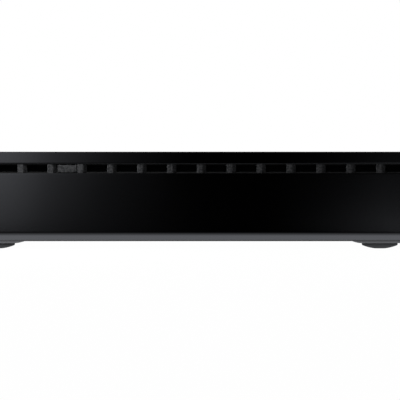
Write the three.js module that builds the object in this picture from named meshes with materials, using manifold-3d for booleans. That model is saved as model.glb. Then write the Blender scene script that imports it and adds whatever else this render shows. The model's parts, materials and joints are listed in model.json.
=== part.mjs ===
import * as THREE from "three";
import { mergeVertices } from "three/addons/utils/BufferGeometryUtils.js";
import Module from "manifold-3d";

const wasm = await Module();
wasm.setup();

// A slim signage player, in millimetres. +X is right seen from the front, the front faces -Y and +Z is up.
// The origin lies on the standing surface, under the middle of the case.

// Case: its width and depth follow from the board and blower inside
const cornerRadius = 4;
const wall = 2;
const lidThickness = 2;
const lidEdge = 0.3;
const edgeBreak = 0.25;

// Heights, from the standing surface up
const footDrop = 2.5;
const bossDrop = 1.05;
const plateThickness = 0.55;
const shellHeight = 30.2;
const ventHeight = 4.2;
const lipHeight = 5.4;

// Tucked-in lower edge of the shell, and the flange that the bottom plate lies under
const tuckRise = 3.6;
const tuckBend = 2.5;
const tuckAngle = Math.PI / 4;
const flangeWidth = 7;
const flangeThickness = 1.8;

// Vent rows
const slotPitch = 13.47;
const slotWidth = 8.92;
const ribFlat = 2.8;
const ribSlant = 1.4;
const ribRound = 0.35;
const frontRowShift = 0.6;
const rowMargin = 3.4;
const grilleRecess = 0.4;
const grilleThickness = 3;
const railSetback = 1;
const railHeight = 0.6;
const railBevel = 0.45;
const tongueHeight = 1.5;
const screenThickness = 0.6;

// Clearances
const fitGap = 0.15;
const runGap = 0.3;
const overrun = 1;

// Feet and the drawn bosses that carry them
const footInset = 14.6;
const bossRadius = 12.9;
const bossFlat = 8.6;
const footRadius = 8.2;
const footFlat = 2.5;
const footCrown = 21;
const footRound = 0.6;
const stemRadius = 2.2;
const stemBarb = 2.9;
const barbHeight = 1.6;

// Screws
const screwRadius = 1.5;
const screwHead = 2.75;
const screwHeadHeight = 1.2;
const screwLength = 13;
const blowerScrewLength = 9;
const smallScrewRadius = 1.2;
const smallHeadRadius = 2.3;
const smallHeadHeight = 1.3;
const smallScrewLength = 4.4;
const postRadius = 3.1;
const postInset = 8;
const postFromFront = 33;
const lugRadius = 5;

// Power key in the vent row, its switch and board
const keySlot = 3;
const keyHeight = 3.4;
const keyStop = 1;
const keyStopOverlap = 1.2;
const keyStem = 2;
const keyTravel = 0.6;
const switchWidth = 6;
const switchHeight = 6;
const switchDepth = 3.5;
const plungerRadius = 1.6;
const plungerOut = 1.2;
const keyBoardWidth = 26;
const keyBoardHeight = 12;
const keyBoardThickness = 1.2;
const keyBoardDistance = 13;
const keyPostRadius = 2.4;
const keyPostSpacing = 19;
const keyPostDrop = 4;
const keyBoardDrop = 7;

// Main board: its width and depth follow from what stands on it
const boardThickness = 1.6;
const boardStand = 5.8;
const boardMargin = 17.5;
const boardFromFront = 42;
const boardGap = 2;
const boardHoleInset = 4;
const boardHoleRear = 30;
const standoffFlats = 5;
const threadWall = 1;
const threadEnd = 1;

// Rear window, panel and sockets
const windowMargin = 11;
const windowSill = 4.4;
const windowHead = 4.2;
const panelThickness = 1;
const panelOverlap = 2.4;
const socketProud = 0.5;
const exhaustSlotWidth = 1.6;
const exhaustSlotPitch = 3;

// Processor and its cooler
const processorSize = 30;
const processorHeight = 1.2;
const processorFromRear = 39;
const coldPlateSize = 36;
const coldPlateHeight = 3;
const pipeWidth = 8;
const pipeThickness = 3;
const pipeBend = 11;
const finDepth = 12;
const finWall = 0.5;
const finPitch = 2.2;
const finBase = 0.8;
const chokeHeight = 3.2;
const chokeCount = 3;

// Blower
const blowerMargin = 13.5;
const impellerRadius = 20;
const voluteGap = 2;
const voluteGrowth = 5;
const tongueAngle = (100 / 180) * Math.PI;
const blowerWall = 1.2;
const blowerCoverThickness = 1;
const blowerStand = 2;
const blowerReach = 32;
const inletRadius = 14.5;
const hubRadius = 9;
const hubWall = 0.9;
const bladeStep = 0.6;
const bladeSweep = 0.6;
const bladeThickness = 0.6;
const bladeCount = 17;
const shaftRadius = 1;
const bearingRadius = 2.6;
const statorRadius = 7.2;
const statorHeight = 4.2;
const shoeShare = 0.7;
const shaftGap = 0.1;
const poleCount = 6;

// Sockets along the rear edge of the main board, from left to right
const socketMargin = 5;
const inletWidth = 9;
const inletHeight = 11;
const inletDepth = 14;
const inletBore = 3.1;
const inletPin = 1;
const inletBoreDepth = 9;
const resetHole = 1.2;
const pictureWidth = 15;
const pictureHeight = 5.6;
const pictureDepth = 11.5;
const lanWidth = 16;
const lanHeight = 13.4;
const lanDepth = 21;
const lanMouthWidth = 11.8;
const lanMouthHeight = 7.4;
const lanMouthSill = 2.6;
const lanLatchWidth = 6.2;
const lanLatchHeight = 1.4;
const lanMouthDepth = 15;
const usbWidth = 14.6;
const usbHeight = 15.6;
const usbDepth = 17.5;
const usbMouthWidth = 12.6;
const usbMouthHeight = 5.2;
const audioWidth = 7;
const audioHeight = 6;
const audioDepth = 12;
const audioNose = 2.6;
const audioBore = 1.8;
const socketWall = 0.5;
const socketTongue = 1.2;
const socketGap = 0.3;

// Cards, sockets and cell on the board
const memoryLength = 67.6;
const memoryWidth = 30;
const memoryThickness = 1.1;
const memorySocketDepth = 6.5;
const memorySocketHeight = 4.2;
const cardLength = 42;
const cardWidth = 22;
const cardThickness = 0.8;
const cardSocketDepth = 5;
const cardSocketHeight = 3.6;
const cardMargin = 3;
const cardFromRear = 23;
const componentGap = 2.4;
const chipHeight = 1.1;
const chipWidth = 9;
const chipLength = 13;
const memoryChips = 4;
const memoryArm = 2.6;
const memoryMargin = 7.35;
const headerWidth = 6;
const headerDepth = 3;
const cellRadius = 10;
const cellThickness = 3.2;
const cellWall = 1;
const cellFromRear = 37;
const cellMargin = 19.2;
const wireRadius = 0.9;
const wireRun = 5;
const blowerHeaderFromFront = 22;

// Small counts of facets
const cornerFacets = 4;
const bendFacets = 3;
const roundFacets = 20;
const footFacets = 18;
const smallFacets = 8;
const bossFacets = 10;
const pipeSteps = 24;
const bladeFacets = 3;

// Levels and faces that follow
const plateZ = footDrop + bossDrop;
const shellZ = plateZ + plateThickness;
const flangeTop = shellZ + flangeThickness;
const ventZ = shellZ + shellHeight;
const lipZ = ventZ + ventHeight;
const topZ = lipZ + lipHeight;
const lidZ = topZ - lidThickness;
const voluteStart = impellerRadius + voluteGap;
const voluteEnd = voluteStart + voluteGrowth;
const cellReach = cellRadius + fitGap + cellWall;
const pipeLane = pipeWidth + runGap + componentGap;
const boardWidth =
  cardMargin + cardWidth + coldPlateSize + 2 * (componentGap + cellReach) + cellMargin + pipeLane;
const boardDepth =
  memoryMargin + memoryWidth + memorySocketDepth / 2 + componentGap + coldPlateSize + processorFromRear;
const caseWidth = boardMargin + boardWidth + boardGap + 2 * voluteEnd + blowerMargin;
const caseDepth = boardFromFront + boardDepth + boardGap + panelThickness + wall;
const sideX = caseWidth / 2;
const frontY = -caseDepth / 2;
const rearY = caseDepth / 2;
const ribWidth = slotPitch - slotWidth;
const bendRise = tuckBend * Math.sin(tuckAngle);
const bendInset = tuckBend * (1 - Math.cos(tuckAngle));
const tuckInset = bendInset + (tuckRise - bendRise) * Math.tan(tuckAngle);
const panelFront = rearY - wall - panelThickness;
const mouthY = rearY - wall + socketProud;
const boardLeft = -sideX + boardMargin;
const boardRight = boardLeft + boardWidth;
const blowerX = boardRight + boardGap + voluteEnd;
const boardRear = panelFront - boardGap;
const boardFront = boardRear - boardDepth;
const boardZ = shellZ + boardStand;
const boardTop = boardZ + boardThickness;
const cardX = boardLeft + cardMargin + cardWidth / 2;
const processorX = cardX + (cardWidth + coldPlateSize) / 2 + componentGap;
const processorY = boardRear - processorFromRear - coldPlateSize / 2;
const cellX = processorX + coldPlateSize / 2 + componentGap + cellReach;
const cellY = boardRear - cellFromRear;
const memoryY = boardFront + memoryMargin + memoryWidth;
const memoryX = boardLeft + boardWidth / 2;
const blowerBaseZ = shellZ + blowerStand;
const finRear = boardRear;
const finFront = finRear - finDepth;
const outletY = finFront - runGap;
const blowerY = outletY - blowerReach;
const outletLeft = blowerX + voluteStart * Math.cos(tongueAngle);
const finLeft = outletLeft;
const finWidth = blowerX + voluteEnd - outletLeft;

// Materials
const paint = (color, roughness, metalness = 0) =>
  new THREE.MeshStandardMaterial({ color, roughness, metalness });
const glossBlack = paint(0x08080a, 0.22);
const grainGrey = paint(0x343436, 0.65);
const panelBlack = paint(0x17171a, 0.5);
const footRubber = paint(0x2b2b2d, 0.85);
const darkPlastic = paint(0x141416, 0.55);
const palePlastic = paint(0xd8d4c8, 0.5);
const boardGreen = paint(0x12392a, 0.45);
const chipBlack = paint(0x1a1a1c, 0.4);
const steel = paint(0xa9abae, 0.35, 0.9);
const brass = paint(0xb08d4a, 0.35, 0.9);
const copper = paint(0xb56d46, 0.32, 0.95);
const alloy = paint(0xb9bbbe, 0.4, 0.85);
const wireBlack = paint(0x1b1b1d, 0.6);
const screenBlack = paint(0x050506, 0.95);

const part = new THREE.Group();

// Adds one named piece.
function piece(name, geometry, material) {
  const mesh = new THREE.Mesh(geometry, material);
  mesh.name = name;
  part.add(mesh);
  return mesh;
}

// A closed geometry as a solid that can be joined and cut.
function solidOf(geometry) {
  const bare = geometry.clone();
  bare.deleteAttribute("normal");
  bare.deleteAttribute("uv");
  const merged = mergeVertices(bare, 1e-4);
  return new wasm.Manifold(
    new wasm.Mesh({
      numProp: 3,
      vertProperties: new Float32Array(merged.attributes.position.array),
      triVerts: new Uint32Array(merged.index.array),
    }),
  );
}

// A solid as a geometry again.
function geometryOf(solid) {
  const mesh = solid.getMesh();
  const points = new Float32Array(mesh.numVert * 3);
  for (let i = 0; i < mesh.numVert; i++) {
    points.set(mesh.vertProperties.subarray(i * mesh.numProp, i * mesh.numProp + 3), i * 3);
  }
  const geometry = new THREE.BufferGeometry();
  geometry.setAttribute("position", new THREE.BufferAttribute(points, 3));
  geometry.setIndex(new THREE.BufferAttribute(new Uint32Array(mesh.triVerts), 1));
  geometry.computeVertexNormals();
  return geometry;
}

const join = (first, ...others) =>
  geometryOf(others.reduce((whole, next) => whole.add(solidOf(next)), solidOf(first)));
const cut = (first, ...tools) =>
  geometryOf(tools.reduce((whole, tool) => whole.subtract(solidOf(tool)), solidOf(first)));
const common = (first, second) => geometryOf(solidOf(first).intersect(solidOf(second)));

// A block between two corners.
function block(x0, x1, y0, y1, z0, z1) {
  const geometry = new THREE.BoxGeometry(x1 - x0, y1 - y0, z1 - z0);
  return geometry.translate((x0 + x1) / 2, (y0 + y1) / 2, (z0 + z1) / 2);
}

// A block centred on x and y, standing on z0.
const blockAt = (x, y, width, depth, z0, z1) =>
  block(x - width / 2, x + width / 2, y - depth / 2, y + depth / 2, z0, z1);

// A flat outline from corner points, with holes made the same way.
function outline(points, ...holes) {
  const shape = new THREE.Shape(points.map(([a, b]) => new THREE.Vector2(a, b)));
  shape.holes = holes.map((hole) => new THREE.Path(hole.map(([a, b]) => new THREE.Vector2(a, b))));
  return shape;
}

const rectangle = (a0, a1, b0, b1) => [[a0, b0], [a1, b0], [a1, b1], [a0, b1]];

// Points of an arc, from one angle to another.
function arc(a, b, radius, from, to, facets) {
  const points = [];
  for (let i = 0; i <= facets; i++) {
    const angle = from + ((to - from) * i) / facets;
    points.push([a + radius * Math.cos(angle), b + radius * Math.sin(angle)]);
  }
  return points;
}

const circle = (a, b, radius, facets) => arc(a, b, radius, 0, Math.PI * 2, facets).slice(0, -1);

// Extrusions along each axis: Z from an XY outline, Y from an XZ outline, X from a YZ outline.
const alongZ = (shape, z0, z1) =>
  new THREE.ExtrudeGeometry(shape, { depth: z1 - z0, bevelEnabled: false }).translate(0, 0, z0);

function alongY(shape, y0, y1) {
  const geometry = new THREE.ExtrudeGeometry(shape, { depth: y1 - y0, bevelEnabled: false });
  return geometry.rotateX(Math.PI / 2).translate(0, y1, 0);
}

function alongX(shape, x0, x1) {
  const geometry = new THREE.ExtrudeGeometry(shape, { depth: x1 - x0, bevelEnabled: false });
  const turn = new THREE.Matrix4().makeBasis(
    new THREE.Vector3(0, 1, 0),
    new THREE.Vector3(0, 0, 1),
    new THREE.Vector3(1, 0, 0),
  );
  return geometry.applyMatrix4(turn).translate(x0, 0, 0);
}

// A turned piece about an upright axis, from radius and height pairs given from the bottom up.
function turned(profile, x, y, facets) {
  const points = profile.map(([radius, z]) => new THREE.Vector2(radius, z));
  return new THREE.LatheGeometry(points, facets).rotateX(Math.PI / 2).translate(x, y, 0);
}

// The same, lying along Y, with its profile given from the front backwards.
function turnedAlongY(profile, x, z, facets) {
  const points = profile.map(([radius, y]) => new THREE.Vector2(radius, y));
  return new THREE.LatheGeometry(points, facets).translate(x, 0, z);
}

const pin = (x, y, radius, z0, z1, facets = roundFacets) =>
  turned([[0, z0], [radius, z0], [radius, z1], [0, z1]], x, y, facets);
const pinAlongY = (x, z, radius, y0, y1, facets = roundFacets) =>
  turnedAlongY([[0, y0], [radius, y0], [radius, y1], [0, y1]], x, z, facets);

// The case's plan outline, drawn in by an inset.
function plan(inset) {
  const radius = Math.max(cornerRadius - inset, edgeBreak);
  const x = sideX - inset - radius;
  const y = rearY - inset - radius;
  const quarter = Math.PI / 2;
  return [
    ...arc(x, y, radius, 0, quarter, cornerFacets),
    ...arc(-x, y, radius, quarter, 2 * quarter, cornerFacets),
    ...arc(-x, -y, radius, 2 * quarter, 3 * quarter, cornerFacets),
    ...arc(x, -y, radius, 3 * quarter, 4 * quarter, cornerFacets),
  ];
}

// A convex body through rings of points, from the bottom ring up.
function loft(rings) {
  const count = rings[0].length;
  const indices = [];
  for (let level = 0; level + 1 < rings.length; level++) {
    for (let i = 0; i < count; i++) {
      const a = level * count + i;
      const b = level * count + ((i + 1) % count);
      indices.push(a, b, b + count, a, b + count, a + count);
    }
  }
  const top = (rings.length - 1) * count;
  for (let i = 1; i + 1 < count; i++) {
    indices.push(0, i + 1, i);
    indices.push(top, top + i, top + i + 1);
  }
  const geometry = new THREE.BufferGeometry();
  geometry.setAttribute("position", new THREE.Float32BufferAttribute(rings.flat(2), 3));
  geometry.setIndex(indices);
  return geometry;
}

const level = (points, z) => points.map(([x, y]) => [x, y, z]);

// A body through level plan outlines of the case, given as height and inset pairs from the bottom up.
const stacked = (levels) => loft(levels.map(([z, inset]) => level(plan(inset), z)));

const corners = [
  [-1, -1],
  [1, -1],
  [-1, 1],
  [1, 1],
];
const postPlaces = corners.map(([a, b]) => [a * (sideX - postInset), b * (rearY - postFromFront)]);
const footPlaces = corners.map(([a, b]) => [a * (sideX - footInset), b * (rearY - footInset)]);
const keyX = (keySlot - (slotCount(caseWidth) - 1) / 2) * slotPitch - frontRowShift;
const keyBoardFront = frontY + keyBoardDistance;
const keyPostZ = ventZ - keyPostDrop;
const keyPostPlaces = [-1, 1].map((a) => keyX + (a * keyPostSpacing) / 2);

// How many slots fit a side of the case.
function slotCount(length) {
  return Math.floor((length - 2 * rowMargin + ribWidth) / slotPitch);
}

// The cone under a flat screw head, widened by a gap, between two heights.
function headCone(x, y, gap, z0, z1) {
  const slope = (screwHead - screwRadius) / screwHeadHeight;
  const radius = (z) => screwHead + gap - slope * (z - plateZ);
  return turned([[0, z0], [radius(z0), z0], [radius(z1), z1], [0, z1]], x, y, smallFacets);
}

// Lower shell: walls with a rounded, tucked-in lower edge, a flange for the bottom plate and a rear window.
function lowerShell() {
  const bendTop = shellZ + tuckRise;
  const outer = [[shellZ, tuckInset]];
  for (let i = bendFacets; i >= 0; i--) {
    const angle = (tuckAngle * i) / bendFacets;
    outer.push([bendTop - tuckBend * Math.sin(angle), tuckBend * (1 - Math.cos(angle))]);
  }
  outer.push([ventZ - edgeBreak, 0], [ventZ, edgeBreak]);
  const flangeInner = tuckInset + flangeWidth;
  const hollow = stacked([
    [flangeTop, tuckInset + wall],
    [bendTop, wall],
    [ventZ + overrun, wall],
  ]);
  const opening = stacked([
    [shellZ - overrun, flangeInner],
    [flangeTop + overrun, flangeInner],
  ]);
  const windowX = sideX - windowMargin;
  const window = block(
    -windowX, windowX,
    rearY - wall - overrun, rearY + overrun,
    flangeTop + windowSill, ventZ - windowHead,
  );
  const additions = postPlaces.map(([x, y]) => pin(x, y, lugRadius, shellZ, flangeTop, bossFacets));
  const cuts = postPlaces.flatMap(([x, y]) => [
    headCone(x, y, plateThickness + 2 * fitGap, shellZ - fitGap, plateZ + screwHeadHeight + fitGap),
    pin(x, y, screwRadius + runGap, shellZ - overrun, flangeTop + overrun, smallFacets),
  ]);
  keyPostPlaces.forEach((x) => {
    const back = keyBoardFront;
    additions.push(
      pinAlongY(x, keyPostZ, keyPostRadius, frontY + wall / 2, back, smallFacets),
      block(
        x - wall / 2, x + wall / 2,
        frontY + wall / 2, back - keyPostRadius,
        keyPostZ - 2 * keyPostRadius, keyPostZ,
      ),
    );
    const pilot = smallScrewRadius + fitGap;
    cuts.push(pinAlongY(x, keyPostZ, pilot, back - smallScrewLength, back + overrun, smallFacets));
  });
  return cut(join(cut(stacked(outer), hollow, opening, window), ...additions), ...cuts);
}
piece("lower_shell", lowerShell(), glossBlack);

// Lid with its shallow lip and the four posts that take the case screws.
function topCover() {
  const outer = [
    [lipZ, edgeBreak],
    [lipZ + edgeBreak, 0],
    [topZ - lidEdge, 0],
    [topZ - lidEdge * (1 - Math.SQRT1_2), lidEdge * (1 - Math.SQRT1_2)],
    [topZ, lidEdge],
  ];
  const hollow = stacked([
    [lipZ - overrun, wall],
    [lidZ, wall],
  ]);
  const postTop = lidZ + lidThickness / 2;
  const posts = postPlaces.map(([x, y]) => pin(x, y, postRadius, flangeTop, postTop, bossFacets));
  const pilots = postPlaces.map(([x, y]) =>
    pin(x, y, screwRadius + fitGap, flangeTop - overrun, plateZ + screwLength + runGap, smallFacets),
  );
  return cut(join(cut(stacked(outer), hollow), ...posts), ...pilots);
}
piece("top_cover", topCover(), glossBlack);

// Outline of a foot boss: round towards the middle of the case and run out straight past the plate's edge.
function bossRing(x, y, radius) {
  const side = Math.sign(y);
  const outY = y + side * footInset;
  const inner = arc(x, y, radius, side > 0 ? Math.PI : 0, side > 0 ? 2 * Math.PI : Math.PI, bossFacets);
  const first = inner[0];
  const last = inner[inner.length - 1];
  return [[first[0], outY], ...inner, [last[0], outY]];
}

// The drawn form of a boss: its rounded edge falls from the plate to a flat, here moved in and up.
function bossForm(x, y, inward, up) {
  const rings = [];
  for (let i = bendFacets; i >= 0; i--) {
    const angle = (Math.PI / 2) * (i / bendFacets);
    const radius = bossFlat + (bossRadius - bossFlat) * Math.cos(angle) - inward;
    rings.push(level(bossRing(x, y, radius), plateZ - bossDrop * Math.sin(angle) + up));
  }
  const rim = bossRing(x, y, bossRadius - inward);
  rings.push(level(rim, plateZ + up + (up > 0 ? overrun : plateThickness / 2)));
  return loft(rings);
}

// Bottom plate: thin sheet with a drawn boss for each foot and a dimple for each case screw.
function bottomPlate() {
  const sheet = stacked([
    [plateZ, tuckInset],
    [shellZ, tuckInset],
  ]);
  const edge = stacked([
    [footDrop - overrun, tuckInset],
    [topZ, tuckInset],
  ]);
  const insideEdge = stacked([
    [footDrop - overrun, tuckInset + plateThickness],
    [topZ, tuckInset + plateThickness],
  ]);
  const bosses = footPlaces.map(([x, y]) => common(bossForm(x, y, 0, 0), edge));
  const dishes = footPlaces.map(([x, y]) =>
    common(bossForm(x, y, plateThickness, plateThickness), insideEdge),
  );
  const stems = footPlaces.map(([x, y]) =>
    pin(x, y, stemRadius + fitGap, footDrop - overrun, shellZ + overrun, footFacets),
  );
  const screws = [...postPlaces, ...blowerLegs()];
  const dimples = screws.map(([x, y]) =>
    headCone(x, y, plateThickness + fitGap, plateZ, plateZ + screwHeadHeight),
  );
  const holes = screws.flatMap(([x, y]) => [
    headCone(x, y, fitGap, plateZ - fitGap, plateZ + screwHeadHeight),
    pin(x, y, screwRadius + fitGap, plateZ - overrun, shellZ + overrun + screwHeadHeight, smallFacets),
  ]);
  const shanks = boardHoles().map(([x, y]) =>
    pin(x, y, smallScrewRadius + threadWall + fitGap, plateZ - overrun, shellZ + overrun, smallFacets),
  );
  return cut(join(sheet, ...bosses, ...dimples), ...dishes, ...stems, ...holes, ...shanks);
}

// Push-in rubber foot: a crowned disc with a small flat and a rounded rim, its barbed stem through the boss.
function foot(x, y) {
  const start = Math.asin(footFlat / footCrown);
  const end = Math.asin((footRadius - footRound) / (footCrown - footRound));
  const centre = footCrown * Math.cos(start);
  const profile = [[0, 0]];
  for (let i = 0; i <= bendFacets; i++) {
    const angle = start + ((end - start) * i) / bendFacets;
    profile.push([footCrown * Math.sin(angle), i ? centre - footCrown * Math.cos(angle) : 0]);
  }
  const rimZ = centre - (footCrown - footRound) * Math.cos(end);
  for (let i = 1; i <= bendFacets; i++) {
    const angle = end + ((Math.PI / 2 - end) * i) / bendFacets;
    profile.push([footRadius - footRound + footRound * Math.sin(angle), rimZ - footRound * Math.cos(angle)]);
  }
  profile.push([footRadius, footDrop]);
  const seat = footDrop + plateThickness + fitGap;
  profile.push(
    [stemRadius, footDrop],
    [stemRadius, seat],
    [stemBarb, seat],
    [stemRadius, seat + barbHeight],
    [0, seat + barbHeight],
  );
  return turned(profile, x, y, footFacets);
}
const footNames = ["front_left_foot", "front_right_foot", "rear_left_foot", "rear_right_foot"];
footPlaces.forEach(([x, y], i) => piece(footNames[i], foot(x, y), footRubber));
piece("bottom_plate", bottomPlate(), panelBlack);

// One vent row along X, its ribs' faces at y = 0: two rails with locating tongues, joined by the ribs.
// Each rib has a rounded edge, a flat face and a flank that falls back towards the next slot.
function ventRow(length, slots, shift) {
  const half = length / 2;
  const rowHalf = ((slots - 1) * slotPitch + slotWidth) / 2;
  const tongueY = wall - grilleRecess + fitGap;
  const profile = [
    [railSetback, 0],
    [railSetback, railHeight - railBevel],
    [railSetback + railBevel, railHeight],
    [grilleThickness, railHeight],
    [grilleThickness, -tongueHeight],
    [tongueY, -tongueHeight],
    [tongueY, 0],
  ];
  const flipped = profile.map(([y, z]) => [y, ventHeight - z]).reverse();
  const solids = [alongX(outline(profile), -half, half), alongX(outline(flipped), -half, half)];
  for (let i = 1; i < slots; i++) {
    const x = shift - rowHalf + i * slotPitch - ribWidth;
    const rib = [
      [x, ribRound],
      [x + ribRound * (1 - Math.SQRT1_2), ribRound * (1 - Math.SQRT1_2)],
      [x + ribRound, 0],
      [x + ribFlat, 0],
      [x + ribWidth, ribSlant],
      [x + ribWidth, grilleThickness],
      [x, grilleThickness],
    ];
    solids.push(alongZ(outline(rib), 0, ventHeight));
  }
  solids.push(
    block(-half, shift - rowHalf, 0, grilleThickness, 0, ventHeight),
    block(shift + rowHalf, half, 0, grilleThickness, 0, ventHeight),
  );
  return join(...solids);
}

// The ends of a row follow the case's rounded corners.
const ventSpace = stacked([
  [ventZ - tongueHeight - overrun, grilleRecess],
  [lipZ + tongueHeight + overrun, grilleRecess],
]);
const acrossLength = caseWidth - 2 * grilleRecess;
const alongLength = caseDepth - 2 * (grilleRecess + grilleThickness + fitGap);
const tongueSpace = stacked([
  [ventZ - tongueHeight - overrun, wall + fitGap],
  [lipZ + tongueHeight + overrun, wall + fitGap],
]);
const ventBand = stacked([
  [ventZ, grilleRecess],
  [lipZ, grilleRecess],
]);
const rowSpace = join(common(ventSpace, ventBand), tongueSpace);

const acrossSlots = slotCount(caseWidth);
const frontForm = ventRow(acrossLength, acrossSlots, -frontRowShift);
const frontRow = common(frontForm.translate(0, frontY + grilleRecess, ventZ), rowSpace);
const beside = (x0, x1) =>
  block(x0, x1, frontY, frontY + wall + grilleThickness, ventZ - wall, lipZ + wall);
piece("front_left_grille", common(frontRow, beside(-sideX, keyX - slotWidth / 2)), grainGrey);
piece("front_right_grille", common(frontRow, beside(keyX + slotWidth / 2, sideX)), grainGrey);
const rearForm = ventRow(acrossLength, acrossSlots, 0);
const rearRow = rearForm.rotateZ(Math.PI).translate(0, rearY - grilleRecess, ventZ);
piece("rear_grille", common(rearRow, rowSpace), grainGrey);
const sideRow = ventRow(alongLength, slotCount(alongLength), 0);
const leftRow = sideRow.clone().rotateZ(-Math.PI / 2).translate(-sideX + grilleRecess, 0, ventZ);
piece("left_grille", common(leftRow, rowSpace), grainGrey);
const rightRow = sideRow.clone().rotateZ(Math.PI / 2).translate(sideX - grilleRecess, 0, ventZ);
piece("right_grille", common(rightRow, rowSpace), grainGrey);

// Dust screen: one strip round the inside of all four rows, left open where the power key passes.
const screenInset = grilleRecess + grilleThickness;
const screenZ = ventZ - tongueHeight;
const screenTop = lipZ + tongueHeight;
const screenRing = cut(
  stacked([
    [screenZ, screenInset],
    [screenTop, screenInset],
  ]),
  stacked([
    [screenZ - overrun, screenInset + screenThickness],
    [screenTop + overrun, screenInset + screenThickness],
  ]),
);
const keyPassage = block(
  keyX - slotWidth / 2 - keyStopOverlap, keyX + slotWidth / 2 + keyStopOverlap,
  frontY, frontY + screenInset + 2 * screenThickness,
  screenZ - overrun, screenTop + overrun,
);
piece("dust_screen", cut(screenRing, keyPassage), screenBlack);

// Power key: a cap that fills its vent place, a stop behind the grille and a stem towards the switch.
const keyZ = ventZ + ventHeight / 2;
const keyFront = frontY + grilleRecess;
const keyStopY = keyFront + grilleThickness + fitGap;
const plungerFront = keyBoardFront - switchDepth - plungerOut;
function powerKey() {
  const halfWidth = slotWidth / 2 - fitGap;
  const cap = block(
    keyX - halfWidth, keyX + halfWidth,
    keyFront + edgeBreak, keyStopY,
    keyZ - keyHeight / 2, keyZ + keyHeight / 2,
  );
  const face = alongY(
    outline(rectangle(
      keyX - halfWidth + edgeBreak, keyX + halfWidth - edgeBreak,
      keyZ - keyHeight / 2 + edgeBreak, keyZ + keyHeight / 2 - edgeBreak,
    )),
    keyFront, keyStopY,
  );
  const stop = block(
    keyX - halfWidth - keyStopOverlap, keyX + halfWidth + keyStopOverlap,
    keyStopY, keyStopY + keyStop,
    keyZ - keyHeight / 2 - keyStopOverlap, keyZ + keyHeight / 2 + keyStopOverlap,
  );
  const stem = block(
    keyX - keyStem / 2, keyX + keyStem / 2,
    keyStopY, plungerFront,
    keyZ - keyStem / 2, keyZ + keyStem / 2,
  );
  return join(cap, face, stop, stem);
}
piece("power_key", powerKey(), grainGrey);
piece(
  "switch_plunger",
  pinAlongY(keyX, keyZ, plungerRadius, plungerFront, keyBoardFront - switchDepth + plungerOut, roundFacets),
  darkPlastic,
);
const switchBody = block(
  keyX - switchWidth / 2, keyX + switchWidth / 2,
  keyBoardFront - switchDepth, keyBoardFront,
  keyZ - switchHeight / 2, keyZ + switchHeight / 2,
);
const plungerBore = pinAlongY(
  keyX, keyZ, plungerRadius + fitGap,
  keyBoardFront - switchDepth - overrun, keyBoardFront - switchDepth + plungerOut + keyTravel + fitGap,
  roundFacets,
);
piece("power_switch", cut(switchBody, plungerBore), darkPlastic);
const keyBoardZ = ventZ - keyBoardDrop;
const keyBoardBack = keyBoardFront + keyBoardThickness;
piece(
  "key_board",
  cut(
    block(
      keyX - keyBoardWidth / 2, keyX + keyBoardWidth / 2,
      keyBoardFront, keyBoardBack,
      keyBoardZ, keyBoardZ + keyBoardHeight,
    ),
    ...keyPostPlaces.map((x) =>
      pinAlongY(
        x, keyPostZ, smallScrewRadius + fitGap,
        keyBoardFront - overrun, keyBoardBack + overrun,
        smallFacets,
      ),
    ),
  ),
  boardGreen,
);
keyPostPlaces.forEach((x, i) => {
  const tip = keyBoardBack - smallScrewLength;
  const screw = turnedAlongY(
    [
      [0, tip],
      [smallScrewRadius, tip],
      [smallScrewRadius, keyBoardBack],
      [smallHeadRadius, keyBoardBack],
      [smallHeadRadius, keyBoardBack + smallHeadHeight / 2],
      [smallHeadRadius - smallHeadHeight / 2, keyBoardBack + smallHeadHeight],
      [0, keyBoardBack + smallHeadHeight],
    ],
    x, keyPostZ, smallFacets,
  );
  piece("key_board_screw_" + (i + 1), screw, steel);
});

// Case screws: flat heads flush with the bottom plate.
function caseScrew(x, y, length) {
  const tip = plateZ + length;
  return turned(
    [
      [0, plateZ],
      [screwHead, plateZ],
      [screwRadius, plateZ + screwHeadHeight],
      [screwRadius, tip - screwRadius / 2],
      [screwRadius / 2, tip],
      [0, tip],
    ],
    x, y, smallFacets,
  );
}
postPlaces.forEach(([x, y], i) => piece("cover_screw_" + (i + 1), caseScrew(x, y, screwLength), steel));
blowerLegs().forEach(([x, y], i) =>
  piece("blower_screw_" + (i + 1), caseScrew(x, y, blowerScrewLength), steel),
);

// Main board on four hexagonal standoffs, each pressed into the bottom plate by its shank.
function boardHoles() {
  return [boardLeft + boardHoleInset, boardRight - boardHoleInset].flatMap((x) =>
    [boardFront + boardHoleInset, boardRear - boardHoleRear].map((y) => [x, y]),
  );
}
const blowerHeaderX = boardRight - boardHoleInset;
const blowerHeaderY = boardFront + blowerHeaderFromFront;
const keyHeaderX = keyX + keyBoardWidth / 2 + headerWidth;
const keyHeaderY = boardFront + headerDepth / 2 + runGap;
const headerZ = boardTop + chokeHeight;
function mainBoard() {
  const board = block(boardLeft, boardRight, boardFront, boardRear, boardZ, boardTop);
  const holes = boardHoles().map(([x, y]) =>
    pin(x, y, smallScrewRadius + fitGap, boardZ - overrun, boardTop + overrun, smallFacets),
  );
  const parts = [
    blockAt(blowerHeaderX, blowerHeaderY, headerDepth, headerWidth, boardZ, headerZ),
    blockAt(keyHeaderX, keyHeaderY, headerWidth, headerDepth, boardZ, headerZ),
  ];
  const chokeStart = processorY - coldPlateSize / 2;
  const chokeRoom = cellY - cellReach - chokeStart;
  const chokeSize = chokeRoom / chokeCount - componentGap;
  for (let i = 0; i < chokeCount; i++) {
    const x = processorX + coldPlateSize / 2 + componentGap + chokeSize / 2;
    const y = chokeStart + chokeSize / 2 + i * (chokeSize + componentGap);
    parts.push(blockAt(x, y, chokeSize, chokeSize, boardTop, boardTop + chokeHeight));
  }
  return cut(join(board, ...parts), ...holes);
}
piece("main_board", mainBoard(), boardGreen);
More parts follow.
